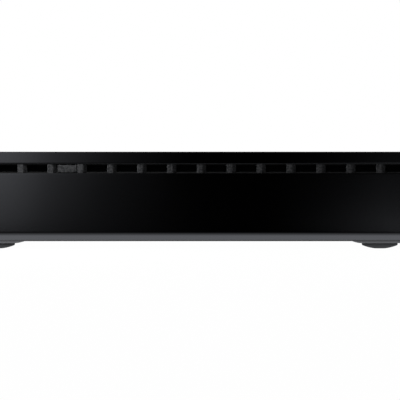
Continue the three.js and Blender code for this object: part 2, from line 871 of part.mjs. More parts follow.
boardHoles().forEach(([x, y], i) => {
  const hex = alongZ(outline(circle(x, y, standoffFlats / Math.sqrt(3), 6)), shellZ, boardZ);
  const shank = pin(x, y, smallScrewRadius + threadWall, plateZ, shellZ + threadEnd, smallFacets);
  const thread = pin(x, y, smallScrewRadius + fitGap, shellZ + threadEnd, boardZ + overrun, smallFacets);
  piece("board_standoff_" + (i + 1), cut(join(hex, shank), thread), brass);
  const tip = boardTop - smallScrewLength;
  const head = boardTop + smallHeadHeight;
  const screw = turned(
    [
      [0, tip],
      [smallScrewRadius, tip],
      [smallScrewRadius, boardTop],
      [smallHeadRadius, boardTop],
      [smallHeadRadius, boardTop + smallHeadHeight / 2],
      [smallHeadRadius - smallHeadHeight / 2, head],
      [0, head],
    ],
    x, y, smallFacets,
  );
  piece("board_screw_" + (i + 1), screw, steel);
});

// Processor, the cold plate on it and the flat heat pipe to the fins.
piece(
  "processor",
  blockAt(processorX, processorY, processorSize, processorSize, boardTop, boardTop + processorHeight),
  chipBlack,
);
const coldPlateZ = boardTop + processorHeight;
const pipeZ = coldPlateZ + coldPlateHeight;
piece(
  "cold_plate",
  blockAt(processorX, processorY, coldPlateSize, coldPlateSize, coldPlateZ, pipeZ),
  alloy,
);
function heatPipe() {
  const z = pipeZ + pipeThickness / 2;
  const turnX = boardRight - runGap - pipeWidth / 2;
  const startX = processorX - coldPlateSize / 2;
  const endX = finLeft + finWidth;
  const finY = finFront + finDepth / 2;
  const path = new THREE.CurvePath();
  const at = (x, y) => new THREE.Vector3(x, y, z);
  path.add(new THREE.LineCurve3(at(startX, processorY), at(turnX - pipeBend, processorY)));
  path.add(new THREE.QuadraticBezierCurve3(
    at(turnX - pipeBend, processorY), at(turnX, processorY), at(turnX, processorY + pipeBend),
  ));
  path.add(new THREE.LineCurve3(at(turnX, processorY + pipeBend), at(turnX, finY - pipeBend)));
  path.add(new THREE.QuadraticBezierCurve3(
    at(turnX, finY - pipeBend), at(turnX, finY), at(turnX + pipeBend, finY),
  ));
  path.add(new THREE.LineCurve3(at(turnX + pipeBend, finY), at(endX, finY)));
  const round = pipeThickness / 2;
  const flat = pipeWidth / 2 - round;
  const section = outline([
    ...arc(0, flat, round, 0, Math.PI, cornerFacets),
    ...arc(0, -flat, round, Math.PI, 2 * Math.PI, cornerFacets),
  ]);
  return new THREE.ExtrudeGeometry(section, { steps: pipeSteps, extrudePath: path });
}
piece("heat_pipe", heatPipe(), copper);

// Fin stack: closed channels from front to rear, under the heat pipe.
function finStack() {
  const right = finLeft + finWidth;
  const channels = Math.floor((finWidth - finWall) / finPitch);
  const step = (finWidth - finWall) / channels;
  const holes = [];
  for (let i = 0; i < channels; i++) {
    const x = finLeft + finWall + i * step;
    holes.push(block(
      x, x + step - finWall,
      finFront - overrun, finRear + overrun,
      blowerBaseZ + finWall, pipeZ - finBase,
    ));
  }
  return cut(block(finLeft, right, finFront, finRear, blowerBaseZ, pipeZ), ...holes);
}
piece("fin_stack", finStack(), alloy);

// Blower: a volute whose wall leaves the impeller steadily and runs straight into the outlet.
function volute(inset, past) {
  const points = [];
  for (let i = 0; i <= roundFacets; i++) {
    const share = i / roundFacets;
    const angle = tongueAngle + (2 * Math.PI - tongueAngle) * share;
    const radius = voluteStart + voluteGrowth * share - inset;
    points.push([blowerX + radius * Math.cos(angle), blowerY + radius * Math.sin(angle)]);
  }
  points.push([blowerX + voluteEnd - inset, outletY + past]);
  points.push([outletLeft + inset, outletY + past]);
  return points;
}
function blowerLegs() {
  const reach = voluteEnd - lugRadius / 2;
  const diagonal = reach * Math.SQRT1_2;
  return [
    [blowerX + diagonal, blowerY - diagonal],
    [blowerX - diagonal, blowerY - diagonal],
  ];
}
const coverZ = pipeZ - blowerCoverThickness;
function blowerBase() {
  const floorTop = blowerBaseZ + blowerWall;
  const shell = cut(
    alongZ(outline(volute(0, 0)), blowerBaseZ, coverZ),
    alongZ(outline(volute(blowerWall, overrun)), floorTop, coverZ + overrun),
  );
  const legs = blowerLegs().map(([x, y]) => pin(x, y, postRadius, plateZ + screwHeadHeight, coverZ));
  const bearing = pin(blowerX, blowerY, bearingRadius, floorTop - blowerWall / 2, floorTop + statorHeight);
  const bore = pin(blowerX, blowerY, shaftRadius + shaftGap, floorTop, floorTop + statorHeight + overrun);
  const pilots = blowerLegs().map(([x, y]) =>
    pin(x, y, screwRadius + fitGap, plateZ, plateZ + blowerScrewLength + runGap, smallFacets),
  );
  const sweep = pin(blowerX, blowerY, impellerRadius + overrun, floorTop, coverZ + overrun);
  const trimmed = cut(join(shell, ...legs), sweep);
  return cut(join(trimmed, bearing), bore, ...pilots);
}
piece("blower_base", blowerBase(), darkPlastic);
const inlet = circle(blowerX, blowerY, inletRadius, roundFacets);
piece("blower_cover", alongZ(outline(volute(0, 0), inlet), coverZ, pipeZ), steel);

// Stator: poles with broad shoes round the bearing tube.
function stator() {
  const z0 = blowerBaseZ + blowerWall;
  const z1 = z0 + statorHeight - blowerWall;
  const core = bearingRadius + fitGap;
  const ring = outline(
    circle(blowerX, blowerY, core + blowerWall, roundFacets),
    circle(blowerX, blowerY, core, roundFacets),
  );
  const poles = [];
  for (let i = 0; i < poleCount; i++) {
    const arm = block(core + blowerWall / 2, statorRadius, -blowerWall / 2, blowerWall / 2, z0, z1);
    const half = (Math.PI / poleCount) * shoeShare;
    const shoe = outline([
      ...arc(0, 0, statorRadius, -half, half, bendFacets),
      ...arc(0, 0, statorRadius - blowerWall, half, -half, bendFacets),
    ]);
    const pole = join(arm, alongZ(shoe, z0, z1));
    poles.push(pole.rotateZ((2 * Math.PI * i) / poleCount).translate(blowerX, blowerY, 0));
  }
  return join(alongZ(ring, z0, z1), ...poles);
}
piece("stator", stator(), copper);

// Impeller: hub cup over the stator, its shaft in the bearing, and blades that sweep back from the hub.
function impeller() {
  const floorTop = blowerBaseZ + blowerWall;
  const cupZ = floorTop + runGap;
  const cupTop = coverZ - runGap;
  const hub = turned(
    [
      [0, floorTop + shaftGap],
      [shaftRadius, floorTop + shaftGap],
      [shaftRadius, cupTop - hubWall],
      [hubRadius - hubWall, cupTop - hubWall],
      [hubRadius - hubWall, cupZ],
      [hubRadius, cupZ],
      [hubRadius, cupTop - edgeBreak],
      [hubRadius - edgeBreak, cupTop],
      [0, cupTop],
    ],
    blowerX, blowerY, roundFacets,
  );
  const blades = [];
  const edge = [];
  const back = [];
  for (let i = 0; i <= bladeFacets; i++) {
    const share = i / bladeFacets;
    const radius = hubRadius - hubWall / 2 + (impellerRadius - hubRadius + hubWall / 2) * share;
    const angle = -bladeSweep * share ** 2;
    const offset = bladeThickness / radius;
    edge.push([radius * Math.cos(angle), radius * Math.sin(angle)]);
    back.push([radius * Math.cos(angle + offset), radius * Math.sin(angle + offset)]);
  }
  const blade = alongZ(outline([...edge, ...back.reverse()]), cupZ, cupTop - bladeStep);
  for (let i = 0; i < bladeCount; i++) {
    blades.push(blade.clone().rotateZ((2 * Math.PI * i) / bladeCount).translate(blowerX, blowerY, 0));
  }
  return join(hub, ...blades);
}
piece("impeller", impeller(), darkPlastic);

// A loose wire held at both ends, along hand-chosen points.
function wire(points) {
  const path = new THREE.CatmullRomCurve3(points.map(([x, y, z]) => new THREE.Vector3(x, y, z)));
  const section = outline(circle(0, 0, wireRadius, cornerFacets * 2));
  return new THREE.ExtrudeGeometry(section, { steps: smallFacets, extrudePath: path });
}

// Key cable, from the key board down to its header on the main board.
const cableTop = keyBoardZ + keyPostDrop / 2;
const cableStart = keyBoardBack + runGap;
piece(
  "key_cable",
  wire([
    [keyX, cableStart, cableTop],
    [keyX, cableStart + wireRun, cableTop],
    [(keyX + keyHeaderX) / 2, (cableStart + wireRun + keyHeaderY) / 2, cableTop],
    [keyHeaderX, keyHeaderY, (cableTop + headerZ) / 2],
    [keyHeaderX, keyHeaderY, headerZ + runGap],
  ]),
  wireBlack,
);

// Blower cable, from the wall of the blower's base to its header on the main board.
const [legX, legY] = blowerLegs()[1];
const exitX = legX - postRadius - runGap;
const exitZ = (boardTop + coverZ) / 2;
piece(
  "blower_cable",
  wire([
    [exitX, legY, exitZ],
    [exitX - wireRun, legY, exitZ],
    [(exitX - wireRun + blowerHeaderX) / 2, (legY + blowerHeaderY) / 2, headerZ + wireRun],
    [blowerHeaderX, blowerHeaderY, headerZ + wireRun],
    [blowerHeaderX, blowerHeaderY, headerZ + runGap],
  ]),
  wireBlack,
);

// Memory module lying in its socket, with chips on its top face.
const memoryZ = boardTop + memorySocketHeight / 2;
function memoryModule() {
  const half = memoryLength / 2;
  const body = block(
    memoryX - half, memoryX + half,
    memoryY - memoryWidth, memoryY,
    memoryZ, memoryZ + memoryThickness,
  );
  const chips = [];
  for (let i = 0; i < memoryChips; i++) {
    const x = memoryX + (i - (memoryChips - 1) / 2) * (memoryLength / memoryChips);
    const y = memoryY - memoryWidth / 2;
    const top = memoryZ + memoryThickness + chipHeight;
    chips.push(blockAt(x, y, chipWidth, chipLength, memoryZ + memoryThickness / 2, top));
  }
  return join(body, ...chips);
}
piece("memory_module", memoryModule(), boardGreen);
function memorySocket() {
  const half = memoryLength / 2;
  const bar = block(
    memoryX - half - memoryArm, memoryX + half + memoryArm,
    memoryY - memorySocketDepth / 2, memoryY + memorySocketDepth / 2,
    boardTop, boardTop + memorySocketHeight,
  );
  const arms = [-1, 1].map((side) =>
    blockAt(
      memoryX + side * (half + fitGap + memoryArm / 2), memoryY - memoryWidth / 2,
      memoryArm - fitGap, memoryWidth - memoryArm,
      boardTop, memoryZ + memoryThickness,
    ),
  );
  const bridge = blockAt(
    memoryX, memoryY - memoryWidth + memoryArm,
    memoryLength + 2 * memoryArm, memoryArm,
    boardTop, memoryZ - fitGap,
  );
  const slot = block(
    memoryX - half - fitGap, memoryX + half + fitGap,
    memoryY - memoryWidth, memoryY + fitGap,
    memoryZ - fitGap, memoryZ + memoryThickness + fitGap,
  );
  return cut(join(bar, ...arms, bridge), slot);
}
piece("memory_socket", memorySocket(), palePlastic);

// Storage card in its socket, held at its far end by a screw on a standoff.
const cardRear = boardRear - cardFromRear;
const cardFront = cardRear - cardLength;
const cardZ = boardTop + cardSocketHeight / 2;
function storageCard() {
  const half = cardWidth / 2;
  const body = block(cardX - half, cardX + half, cardFront, cardRear, cardZ, cardZ + cardThickness);
  const top = cardZ + cardThickness + chipHeight;
  const chips = [1, 2].map((i) =>
    blockAt(cardX, cardFront + (cardLength * i) / 3, chipLength, chipLength, cardZ + cardThickness / 2, top),
  );
  const notch = pin(cardX, cardFront, smallScrewRadius + threadWall, cardZ - overrun, top, smallFacets);
  return cut(join(body, ...chips), notch);
}
piece("storage_card", storageCard(), boardGreen);
const cardSocket = blockAt(
  cardX, cardRear, cardWidth + 2 * socketWall, cardSocketDepth, boardTop, boardTop + cardSocketHeight,
);
const cardSlot = block(
  cardX - cardWidth / 2 - fitGap, cardX + cardWidth / 2 + fitGap,
  cardRear - cardSocketDepth, cardRear + fitGap,
  cardZ - fitGap, cardZ + cardThickness + fitGap,
);
piece("storage_socket", cut(cardSocket, cardSlot), darkPlastic);
const cardTop = cardZ + cardThickness;
piece(
  "storage_standoff",
  cut(
    join(
      pin(cardX, cardFront, smallHeadRadius + threadWall, boardTop, cardZ, smallFacets),
      pin(cardX, cardFront, smallScrewRadius + threadWall - fitGap, boardTop, cardTop - fitGap, smallFacets),
    ),
    pin(cardX, cardFront, smallScrewRadius + fitGap, boardTop + threadEnd, cardTop + overrun, smallFacets),
  ),
  brass,
);
piece(
  "storage_screw",
  turned(
    [
      [0, boardTop + threadEnd],
      [smallScrewRadius, boardTop + threadEnd],
      [smallScrewRadius, cardTop],
      [smallHeadRadius + threadWall, cardTop],
      [smallHeadRadius + threadWall, cardTop + smallHeadHeight / 2],
      [0, cardTop + smallHeadHeight / 2],
    ],
    cardX, cardFront, smallFacets,
  ),
  steel,
);

// Clock cell in its open ring holder.
const holder = cut(
  pin(cellX, cellY, cellReach, boardTop, boardTop + cellWall + cellThickness),
  pin(cellX, cellY, cellRadius + fitGap, boardTop + cellWall, boardTop + cellWall + cellThickness + overrun),
  block(
    cellX - cellRadius / 2, cellX + cellRadius / 2,
    cellY - 2 * cellRadius, cellY,
    boardTop + cellWall, boardTop + cellWall + cellThickness + overrun,
  ),
);
piece("cell_holder", holder, darkPlastic);
piece(
  "coin_cell",
  turned(
    [
      [0, boardTop + cellWall],
      [cellRadius - edgeBreak, boardTop + cellWall],
      [cellRadius, boardTop + cellWall + edgeBreak],
      [cellRadius, boardTop + cellWall + cellThickness - edgeBreak],
      [cellRadius - edgeBreak, boardTop + cellWall + cellThickness],
      [0, boardTop + cellWall + cellThickness],
    ],
    cellX, cellY, roundFacets,
  ),
  steel,
);

// Sockets along the rear edge of the main board. Each body stands on the board, with its mouth at the panel.
const socketWidths = [inletWidth, switchWidth, pictureWidth, lanWidth, usbWidth, audioWidth];
const socketTotal = socketWidths.reduce((sum, width) => sum + width, 0);
const socketSpace = (boardWidth - socketMargin - pipeLane - socketTotal) / (socketWidths.length - 1);
const [inletX, resetX, pictureX, lanX, usbX, audioX] = socketWidths.map((width, i) => {
  const before = socketWidths.slice(0, i).reduce((sum, other) => sum + other + socketSpace, 0);
  return boardLeft + socketMargin + before + width / 2;
});
const socketBody = (x, width, depth, height) =>
  block(x - width / 2, x + width / 2, mouthY - depth, mouthY, boardTop, boardTop + height);

const inletZ = boardTop + inletHeight / 2;
const inletHole = pinAlongY(inletX, inletZ, inletBore, mouthY - inletBoreDepth, mouthY + overrun);
const inletBottom = mouthY - inletBoreDepth;
const inletPinSolid = pinAlongY(
  inletX, inletZ, inletPin, inletBottom - overrun, mouthY - overrun, smallFacets,
);
piece(
  "power_inlet",
  join(cut(socketBody(inletX, inletWidth, inletDepth, inletHeight), inletHole), inletPinSolid),
  darkPlastic,
);

// The picture socket's shell narrows towards the board, with a contact tongue inside.
function pictureSocket() {
  const shape = (inset) => {
    const half = pictureWidth / 2 - inset;
    const low = boardTop + inset;
    const high = boardTop + pictureHeight - inset;
    const shoulder = pictureHeight / 3;
    return [
      [pictureX - half + shoulder, low],
      [pictureX + half - shoulder, low],
      [pictureX + half, low + shoulder],
      [pictureX + half, high],
      [pictureX - half, high],
      [pictureX - half, low + shoulder],
    ];
  };
  const back = mouthY - pictureDepth;
  const shell = alongY(outline(shape(0)), back, mouthY);
  const mouth = alongY(outline(shape(socketWall)), back + socketTongue, mouthY + overrun);
  const middle = boardTop + pictureHeight / 2;
  const tongue = block(
    pictureX - pictureWidth / 3, pictureX + pictureWidth / 3,
    back, mouthY - 2 * socketTongue,
    middle - socketTongue / 2, middle + socketTongue / 2,
  );
  return join(cut(shell, mouth), tongue);
}
piece("picture_socket", pictureSocket(), steel);

// The network socket's mouth has a step for the plug's latch, and a row of contacts under its roof.
function lanSocket() {
  const sill = boardTop + lanMouthSill;
  const half = lanMouthWidth / 2;
  const latch = lanLatchWidth / 2;
  const mouth = alongY(
    outline([
      [lanX - half, sill],
      [lanX - latch, sill],
      [lanX - latch, sill - lanLatchHeight],
      [lanX + latch, sill - lanLatchHeight],
      [lanX + latch, sill],
      [lanX + half, sill],
      [lanX + half, sill + lanMouthHeight],
      [lanX - half, sill + lanMouthHeight],
    ]),
    mouthY - lanMouthDepth, mouthY + overrun,
  );
  return cut(socketBody(lanX, lanWidth, lanDepth, lanHeight), mouth);
}
piece("lan_socket", lanSocket(), steel);

// Two USB sockets in one stacked body, each with its tongue.
function usbSocket() {
  const back = mouthY - usbDepth + socketTongue;
  const pitch = usbHeight / 2;
  const tools = [];
  const tongues = [];
  for (let i = 0; i < 2; i++) {
    const z = boardTop + pitch * (i + 1 / 2);
    tools.push(block(
      usbX - usbMouthWidth / 2, usbX + usbMouthWidth / 2,
      back, mouthY + overrun,
      z - usbMouthHeight / 2, z + usbMouthHeight / 2,
    ));
    tongues.push(block(
      usbX - usbMouthWidth / 2 + socketWall, usbX + usbMouthWidth / 2 - socketWall,
      back - socketTongue / 2, mouthY - socketTongue,
      z, z + socketTongue,
    ));
  }
  return join(cut(socketBody(usbX, usbWidth, usbDepth, usbHeight), ...tools), ...tongues);
}
piece("usb_socket", usbSocket(), steel);

const audioZ = boardTop + audioHeight / 2;
const audioBody = block(
  audioX - audioWidth / 2, audioX + audioWidth / 2,
  mouthY - audioDepth, panelFront - socketGap,
  boardTop, boardTop + audioHeight,
);
const audioNoseSolid = pinAlongY(audioX, audioZ, audioNose, mouthY - audioDepth / 2, mouthY);
const audioHole = pinAlongY(
  audioX, audioZ, audioBore, mouthY - audioDepth + overrun, mouthY + overrun, smallFacets,
);
piece("audio_socket", cut(join(audioBody, audioNoseSolid), audioHole), darkPlastic);

// Reset switch: its plunger stands back behind a pinhole in the panel.
const resetZ = boardTop + switchHeight / 2;
const resetFace = panelFront - 2 * plungerOut;
const resetBody = block(
  resetX - switchWidth / 2, resetX + switchWidth / 2,
  resetFace - switchDepth, resetFace,
  boardTop, boardTop + switchHeight,
);
const resetBore = pinAlongY(
  resetX, resetZ, plungerRadius + fitGap, resetFace - plungerOut - keyTravel - fitGap, resetFace + overrun,
);
piece("reset_switch", cut(resetBody, resetBore), darkPlastic);
piece(
  "reset_plunger",
  pinAlongY(resetX, resetZ, plungerRadius, resetFace - plungerOut, resetFace + plungerOut),
  palePlastic,
);

// Rear panel: sheet behind the rear window, with a close hole for each socket and the exhaust slots.
function rearPanel() {
  const halfWidth = sideX - windowMargin + panelOverlap;
  const sheet = block(
    -halfWidth, halfWidth,
    panelFront, rearY - wall,
    flangeTop + windowSill - panelOverlap, ventZ - windowHead + panelOverlap,
  );
  const y0 = panelFront - overrun;
  const y1 = rearY - wall + overrun;
  const opening = (x, width, height) => {
    const half = width / 2 + socketGap;
    return block(x - half, x + half, y0, y1, boardTop - socketGap, boardTop + height + socketGap);
  };
  const holes = [
    opening(inletX, inletWidth, inletHeight),
    opening(pictureX, pictureWidth, pictureHeight),
    opening(lanX, lanWidth, lanHeight),
    opening(usbX, usbWidth, usbHeight),
    pinAlongY(audioX, audioZ, audioNose + socketGap, y0, y1),
    pinAlongY(resetX, resetZ, resetHole, y0, y1, smallFacets),
  ];
  const slots = Math.floor(finWidth / exhaustSlotPitch);
  for (let i = 0; i < slots; i++) {
    const x = finLeft + finWidth / 2 + (i - (slots - 1) / 2) * exhaustSlotPitch;
    const low = Math.max(blowerBaseZ, flangeTop + windowSill) + panelOverlap / 2;
    holes.push(block(x - exhaustSlotWidth / 2, x + exhaustSlotWidth / 2, y0, y1, low, pipeZ - finBase));
  }
  return cut(sheet, ...holes);
}
piece("rear_panel", rearPanel(), panelBlack);

export default part;
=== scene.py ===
import json
import math

import bmesh
import bpy
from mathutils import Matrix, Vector

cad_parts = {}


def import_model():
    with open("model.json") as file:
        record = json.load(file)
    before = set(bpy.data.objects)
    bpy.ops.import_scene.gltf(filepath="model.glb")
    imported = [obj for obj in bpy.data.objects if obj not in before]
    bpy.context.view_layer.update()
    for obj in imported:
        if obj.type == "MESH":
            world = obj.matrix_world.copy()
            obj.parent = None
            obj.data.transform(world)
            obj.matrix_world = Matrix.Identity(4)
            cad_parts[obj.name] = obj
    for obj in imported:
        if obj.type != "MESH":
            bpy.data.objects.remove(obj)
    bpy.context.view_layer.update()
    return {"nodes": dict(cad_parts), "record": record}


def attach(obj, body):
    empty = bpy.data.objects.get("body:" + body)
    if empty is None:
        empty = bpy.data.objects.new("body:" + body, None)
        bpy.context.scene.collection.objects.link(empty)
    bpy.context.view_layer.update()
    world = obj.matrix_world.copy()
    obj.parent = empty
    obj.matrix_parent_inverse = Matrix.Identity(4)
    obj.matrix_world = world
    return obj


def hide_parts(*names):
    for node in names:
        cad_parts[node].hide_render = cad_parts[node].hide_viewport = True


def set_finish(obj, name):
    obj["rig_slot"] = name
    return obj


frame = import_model()

# Sizes in metres. The front faces -Y and the feet stand on z = 0.
MM = 0.001
MICRON = 0.001 * MM
QUARTER = math.pi / 2

# Case
SIDE_X = 102.5 * MM
REAR_Y = 82.5 * MM
CORNER = 4 * MM
LEAST_CORNER = 0.2 * MM
WALL = 2 * MM
SHELL_Z = 4.1 * MM
FLANGE_TOP = 5.9 * MM
VENT_Z = 34.3 * MM
LIP_Z = 38.5 * MM
LID_Z = 41.9 * MM
TOP_Z = 43.9 * MM
LID_EDGE = 0.3 * MM
EDGE_BREAK = 0.25 * MM
TUCK_RISE = 3.6 * MM
TUCK_BEND = 2.5 * MM
TUCK_ANGLE = math.pi / 4
FLANGE_WIDTH = 7 * MM
WINDOW_X = 91.5 * MM
WINDOW_LOW = 10.3 * MM
WINDOW_HIGH = 30.1 * MM
FIT = 0.15 * MM

# Vent rows
SLOT_PITCH = 13.47 * MM
SLOT_WIDTH = 8.92 * MM
RIB_WIDTH = SLOT_PITCH - SLOT_WIDTH
RIB_FLAT = 2.65 * MM
RIB_TAPER = 0.42 * MM
RIB_SLANT = 1.4 * MM
ROW_SHIFT = -0.6 * MM
GRILLE_RECESS = 0.4 * MM
GRILLE_THICKNESS = 3 * MM
RAIL_SETBACK = 1 * MM
RAIL_HEIGHT = 0.6 * MM
RAIL_BEVEL = 0.45 * MM
TONGUE = 1.5 * MM

# Power key
KEY_X = -54.48 * MM
KEY_Z = (VENT_Z + LIP_Z) / 2
KEY_HEIGHT = 3.5 * MM
KEY_DROP = 0.17 * MM

# Base plate and feet
PLATE_Z = 3.55 * MM
PLATE = 0.55 * MM
BOSS_DROP = 0.92 * MM
BOSS_RADIUS = 12.9 * MM
BOSS_FLAT = 8.6 * MM
FOOT_X = 87.9 * MM
FOOT_Y = 67.9 * MM
FOOT_DROP = 2.5 * MM
FOOT_RADIUS = 8.2 * MM
FOOT_FLAT = 2.5 * MM
FOOT_CROWN = 21 * MM
FOOT_ROUND = 0.6 * MM
STEM_RADIUS = 2.2 * MM

scene = bpy.context.scene


# Mesh helpers

SHARP_ANGLE = 35
TURNED_SHARP_ANGLE = 30
PLATE_SHARP_ANGLE = 28
BEVEL_ANGLE = 30
NO_RADIUS = 1e-7
CORNER_FACETS = 10
EDGE_FACETS = 4


def new_object(name, verts, faces, smooth_angle=SHARP_ANGLE):
    mesh = bpy.data.meshes.new(name)
    mesh.from_pydata([tuple(v) for v in verts], [], faces)
    mesh.validate()
    ob = bpy.data.objects.new(name, mesh)
    scene.collection.objects.link(ob)
    shade(ob, smooth_angle)
    return ob


def shade(ob, angle=SHARP_ANGLE):
    """Smooth faces, with a sharp edge wherever two faces meet at more than the angle."""
    bm = bmesh.new()
    bm.from_mesh(ob.data)
    bmesh.ops.recalc_face_normals(bm, faces=bm.faces)
    for f in bm.faces:
        f.smooth = True
    limit = math.radians(angle)
    for e in bm.edges:
        e.smooth = len(e.link_faces) == 2 and e.calc_face_angle(0) < limit
    bm.to_mesh(ob.data)
    bm.free()


def apply(ob):
    """Bakes the object's modifiers into its mesh."""
    depsgraph = bpy.context.evaluated_depsgraph_get()
    mesh = bpy.data.meshes.new_from_object(ob.evaluated_get(depsgraph))
    old = ob.data
    ob.modifiers.clear()
    ob.data = mesh
    bpy.data.meshes.remove(old)


def cut_with(ob, tool, operation):
    """Unites, subtracts or intersects one tool and keeps it."""
    m = ob.modifiers.new("boolean", "BOOLEAN")
    m.operation = operation
    m.solver = "EXACT"
    m.use_self = operation == "UNION"
    m.object = tool
    apply(ob)


def boolean(ob, *tools, operation="DIFFERENCE"):
    for tool in tools:
        cut_with(ob, tool, operation)
    for tool in tools:
        bpy.data.objects.remove(tool)


def bevel(ob, width, segments):
    m = ob.modifiers.new("bevel", "BEVEL")
    m.width = width
    m.segments = segments
    m.limit_method = "ANGLE"
    m.angle_limit = math.radians(BEVEL_ANGLE)
    apply(ob)


def box(name, x0, x1, y0, y1, z0, z1):
    verts = [(x, y, z) for z in (z0, z1) for y in (y0, y1) for x in (x0, x1)]
    faces = [(0, 2, 3, 1), (4, 5, 7, 6), (0, 1, 5, 4), (2, 6, 7, 3), (0, 4, 6, 2), (1, 3, 7, 5)]
    return new_object(name, verts, faces)


def arc(a, b, radius, start, end, facets):
    step = (end - start) / facets
    return [(a + radius * math.cos(start + step * i), b + radius * math.sin(start + step * i))
            for i in range(facets + 1)]


def plan(inset):
    """The case's plan outline, drawn in by an inset."""
    radius = max(CORNER - inset, LEAST_CORNER)
    x = SIDE_X - inset - radius
    y = REAR_Y - inset - radius
    outline = []
    for i, (a, b) in enumerate(((x, y), (-x, y), (-x, -y), (x, -y))):
        outline += arc(a, b, radius, i * QUARTER, (i + 1) * QUARTER, CORNER_FACETS)
    return outline


def loft(name, rings, closed_loop=False):
    """Faces through rings of the same count; a closed loop joins the last ring to the first."""
    count = len(rings[0])
    verts = [p for ring in rings for p in ring]
    faces = []
    last = len(rings) if closed_loop else len(rings) - 1
    for k in range(last):
        a0 = k * count
        b0 = ((k + 1) % len(rings)) * count
        for i in range(count):
            j = (i + 1) % count
            faces.append((a0 + i, a0 + j, b0 + j, b0 + i))
    if not closed_loop:
        faces.append(tuple(reversed(range(count))))
        faces.append(tuple(range((len(rings) - 1) * count, len(rings) * count)))
    return new_object(name, verts, faces)


def sheet(name, corners):
    return new_object(name, corners, [(0, 1, 2, 3)])


def at(points, z):
    return [(x, y, z) for x, y in points]


def stacked(name, levels, closed_loop=False):
    """The case's plan lofted through height and inset pairs."""
    return loft(name, [at(plan(inset), z) for z, inset in levels], closed_loop)


def prism(name, points, axis, low, high):
    """An outline run along an axis: X from YZ points or Z from XY points."""
    n = len(points)
    verts = [(c, a, b) if axis == "x" else (a, b, c) for c in (low, high) for a, b in points]
    faces = [tuple(range(n)), tuple(range(n, 2 * n))]
    faces += [(i, (i + 1) % n, n + (i + 1) % n, n + i) for i in range(n)]
    return new_object(name, verts, faces)


def turned(name, profile, x, y, facets):
    """A turned piece about an upright axis, from radius and height pairs; a ring's last pair is its first."""
    verts, rings = [], []
    ring_shaped = profile[0] == profile[-1]
    for radius, z in profile[:-1] if ring_shaped else profile:
        if radius < NO_RADIUS:
            rings.append([len(verts)])
            verts.append((x, y, z))
        else:
            rings.append(list(range(len(verts), len(verts) + facets)))
            for i in range(facets):
                a = 2 * math.pi * i / facets
                verts.append((x + radius * math.cos(a), y + radius * math.sin(a), z))
    if ring_shaped:
        rings.append(rings[0])
    faces = []
    for lower, upper in zip(rings, rings[1:]):
        for i in range(facets):
            j = (i + 1) % facets
            if len(lower) == 1:
                faces.append((lower[0], upper[i], upper[j]))
            elif len(upper) == 1:
                faces.append((lower[i], lower[j], upper[0]))
            else:
                faces.append((lower[i], lower[j], upper[j], upper[i]))
    return new_object(name, verts, faces, TURNED_SHARP_ANGLE)


def join(name, *obs):
    """Joins meshes that only touch or stand apart into one object."""
    bm = bmesh.new()
    for ob in obs:
        bm.from_mesh(ob.data)
    mesh = bpy.data.meshes.new(name)
    bm.to_mesh(mesh)
    bm.free()
    for ob in obs:
        bpy.data.objects.remove(ob)
    ob = bpy.data.objects.new(name, mesh)
    scene.collection.objects.link(ob)
    return ob


def place(ob, body, slot, *nodes):
    """Puts a piece on its body, with its material slot and the solids that it replaces."""
    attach(ob, body)
    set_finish(ob, slot)
    if nodes:
        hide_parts(*nodes)
    return ob


# Materials

class Maker:
    """Builds one material's nodes."""

    def __init__(self, name):
        self.mat = bpy.data.materials.new(name)
        self.mat.use_nodes = True
        self.tree = self.mat.node_tree
        self.bsdf = self.tree.nodes["Principled BSDF"]
        self.coords = self.tree.nodes.new("ShaderNodeTexCoord").outputs["Object"]

    def node(self, kind, inputs=None, **settings):
        n = self.tree.nodes.new(kind)
        for key, value in settings.items():
            setattr(n, key, value)
        for key, value in (inputs or {}).items():
            self.put(n.inputs[key], value)
        return n

    def put(self, socket, value):
        if isinstance(value, bpy.types.NodeSocket):
            self.tree.links.new(value, socket)
        else:
            socket.default_value = value

    def stretched(self, x, y, z):
        n = self.node("ShaderNodeMapping", {"Vector": self.coords})
        n.inputs["Scale"].default_value = (x, y, z)
        return n.outputs["Vector"]

    def noise(self, scale, detail=2.0, rough=0.5, vector=None):
        n = self.node("ShaderNodeTexNoise", {"Vector": vector or self.coords, "Scale": scale,
                                            "Detail": detail, "Roughness": rough})
        return n.outputs["Fac"]

    def cells(self, scale):
        return self.node("ShaderNodeTexVoronoi", {"Vector": self.coords, "Scale": scale}).outputs["Distance"]

    def ramp(self, value, low, high, out_low, out_high):
        n = self.node("ShaderNodeMapRange", {"Value": value, "From Min": low, "From Max": high,
                                            "To Min": out_low, "To Max": out_high})
        return n.outputs["Result"]

    def math(self, operation, a, b):
        n = self.node("ShaderNodeMath", operation=operation)
        self.put(n.inputs[0], a)
        self.put(n.inputs[1], b)
        return n.outputs["Value"]

    def mix(self, factor, a, b):
        n = self.node("ShaderNodeMix", data_type="RGBA")
        self.put(n.inputs["Factor"], factor)
        color_a, color_b, result = n.inputs[6], n.inputs[7], n.outputs[2]
        for socket, value in ((color_a, a), (color_b, b)):
            self.put(socket, value if isinstance(value, bpy.types.NodeSocket) else (*value, 1))
        return result

    def bump(self, height, distance, strength, normal=None):
        n = self.node("ShaderNodeBump", {"Height": height, "Strength": strength, "Distance": distance})
        if normal:
            self.put(n.inputs["Normal"], normal)
        return n.outputs["Normal"]

    def done(self, color, roughness, normal=None, **fixed):
        b = self.bsdf.inputs
        self.put(b["Base Color"], color if isinstance(color, bpy.types.NodeSocket) else (*color, 1))
        self.put(b["Roughness"], roughness)
        if normal:
            self.put(b["Normal"], normal)
        for key, value in fixed.items():
            b[key.replace("_", " ")].default_value = value
        return self.mat


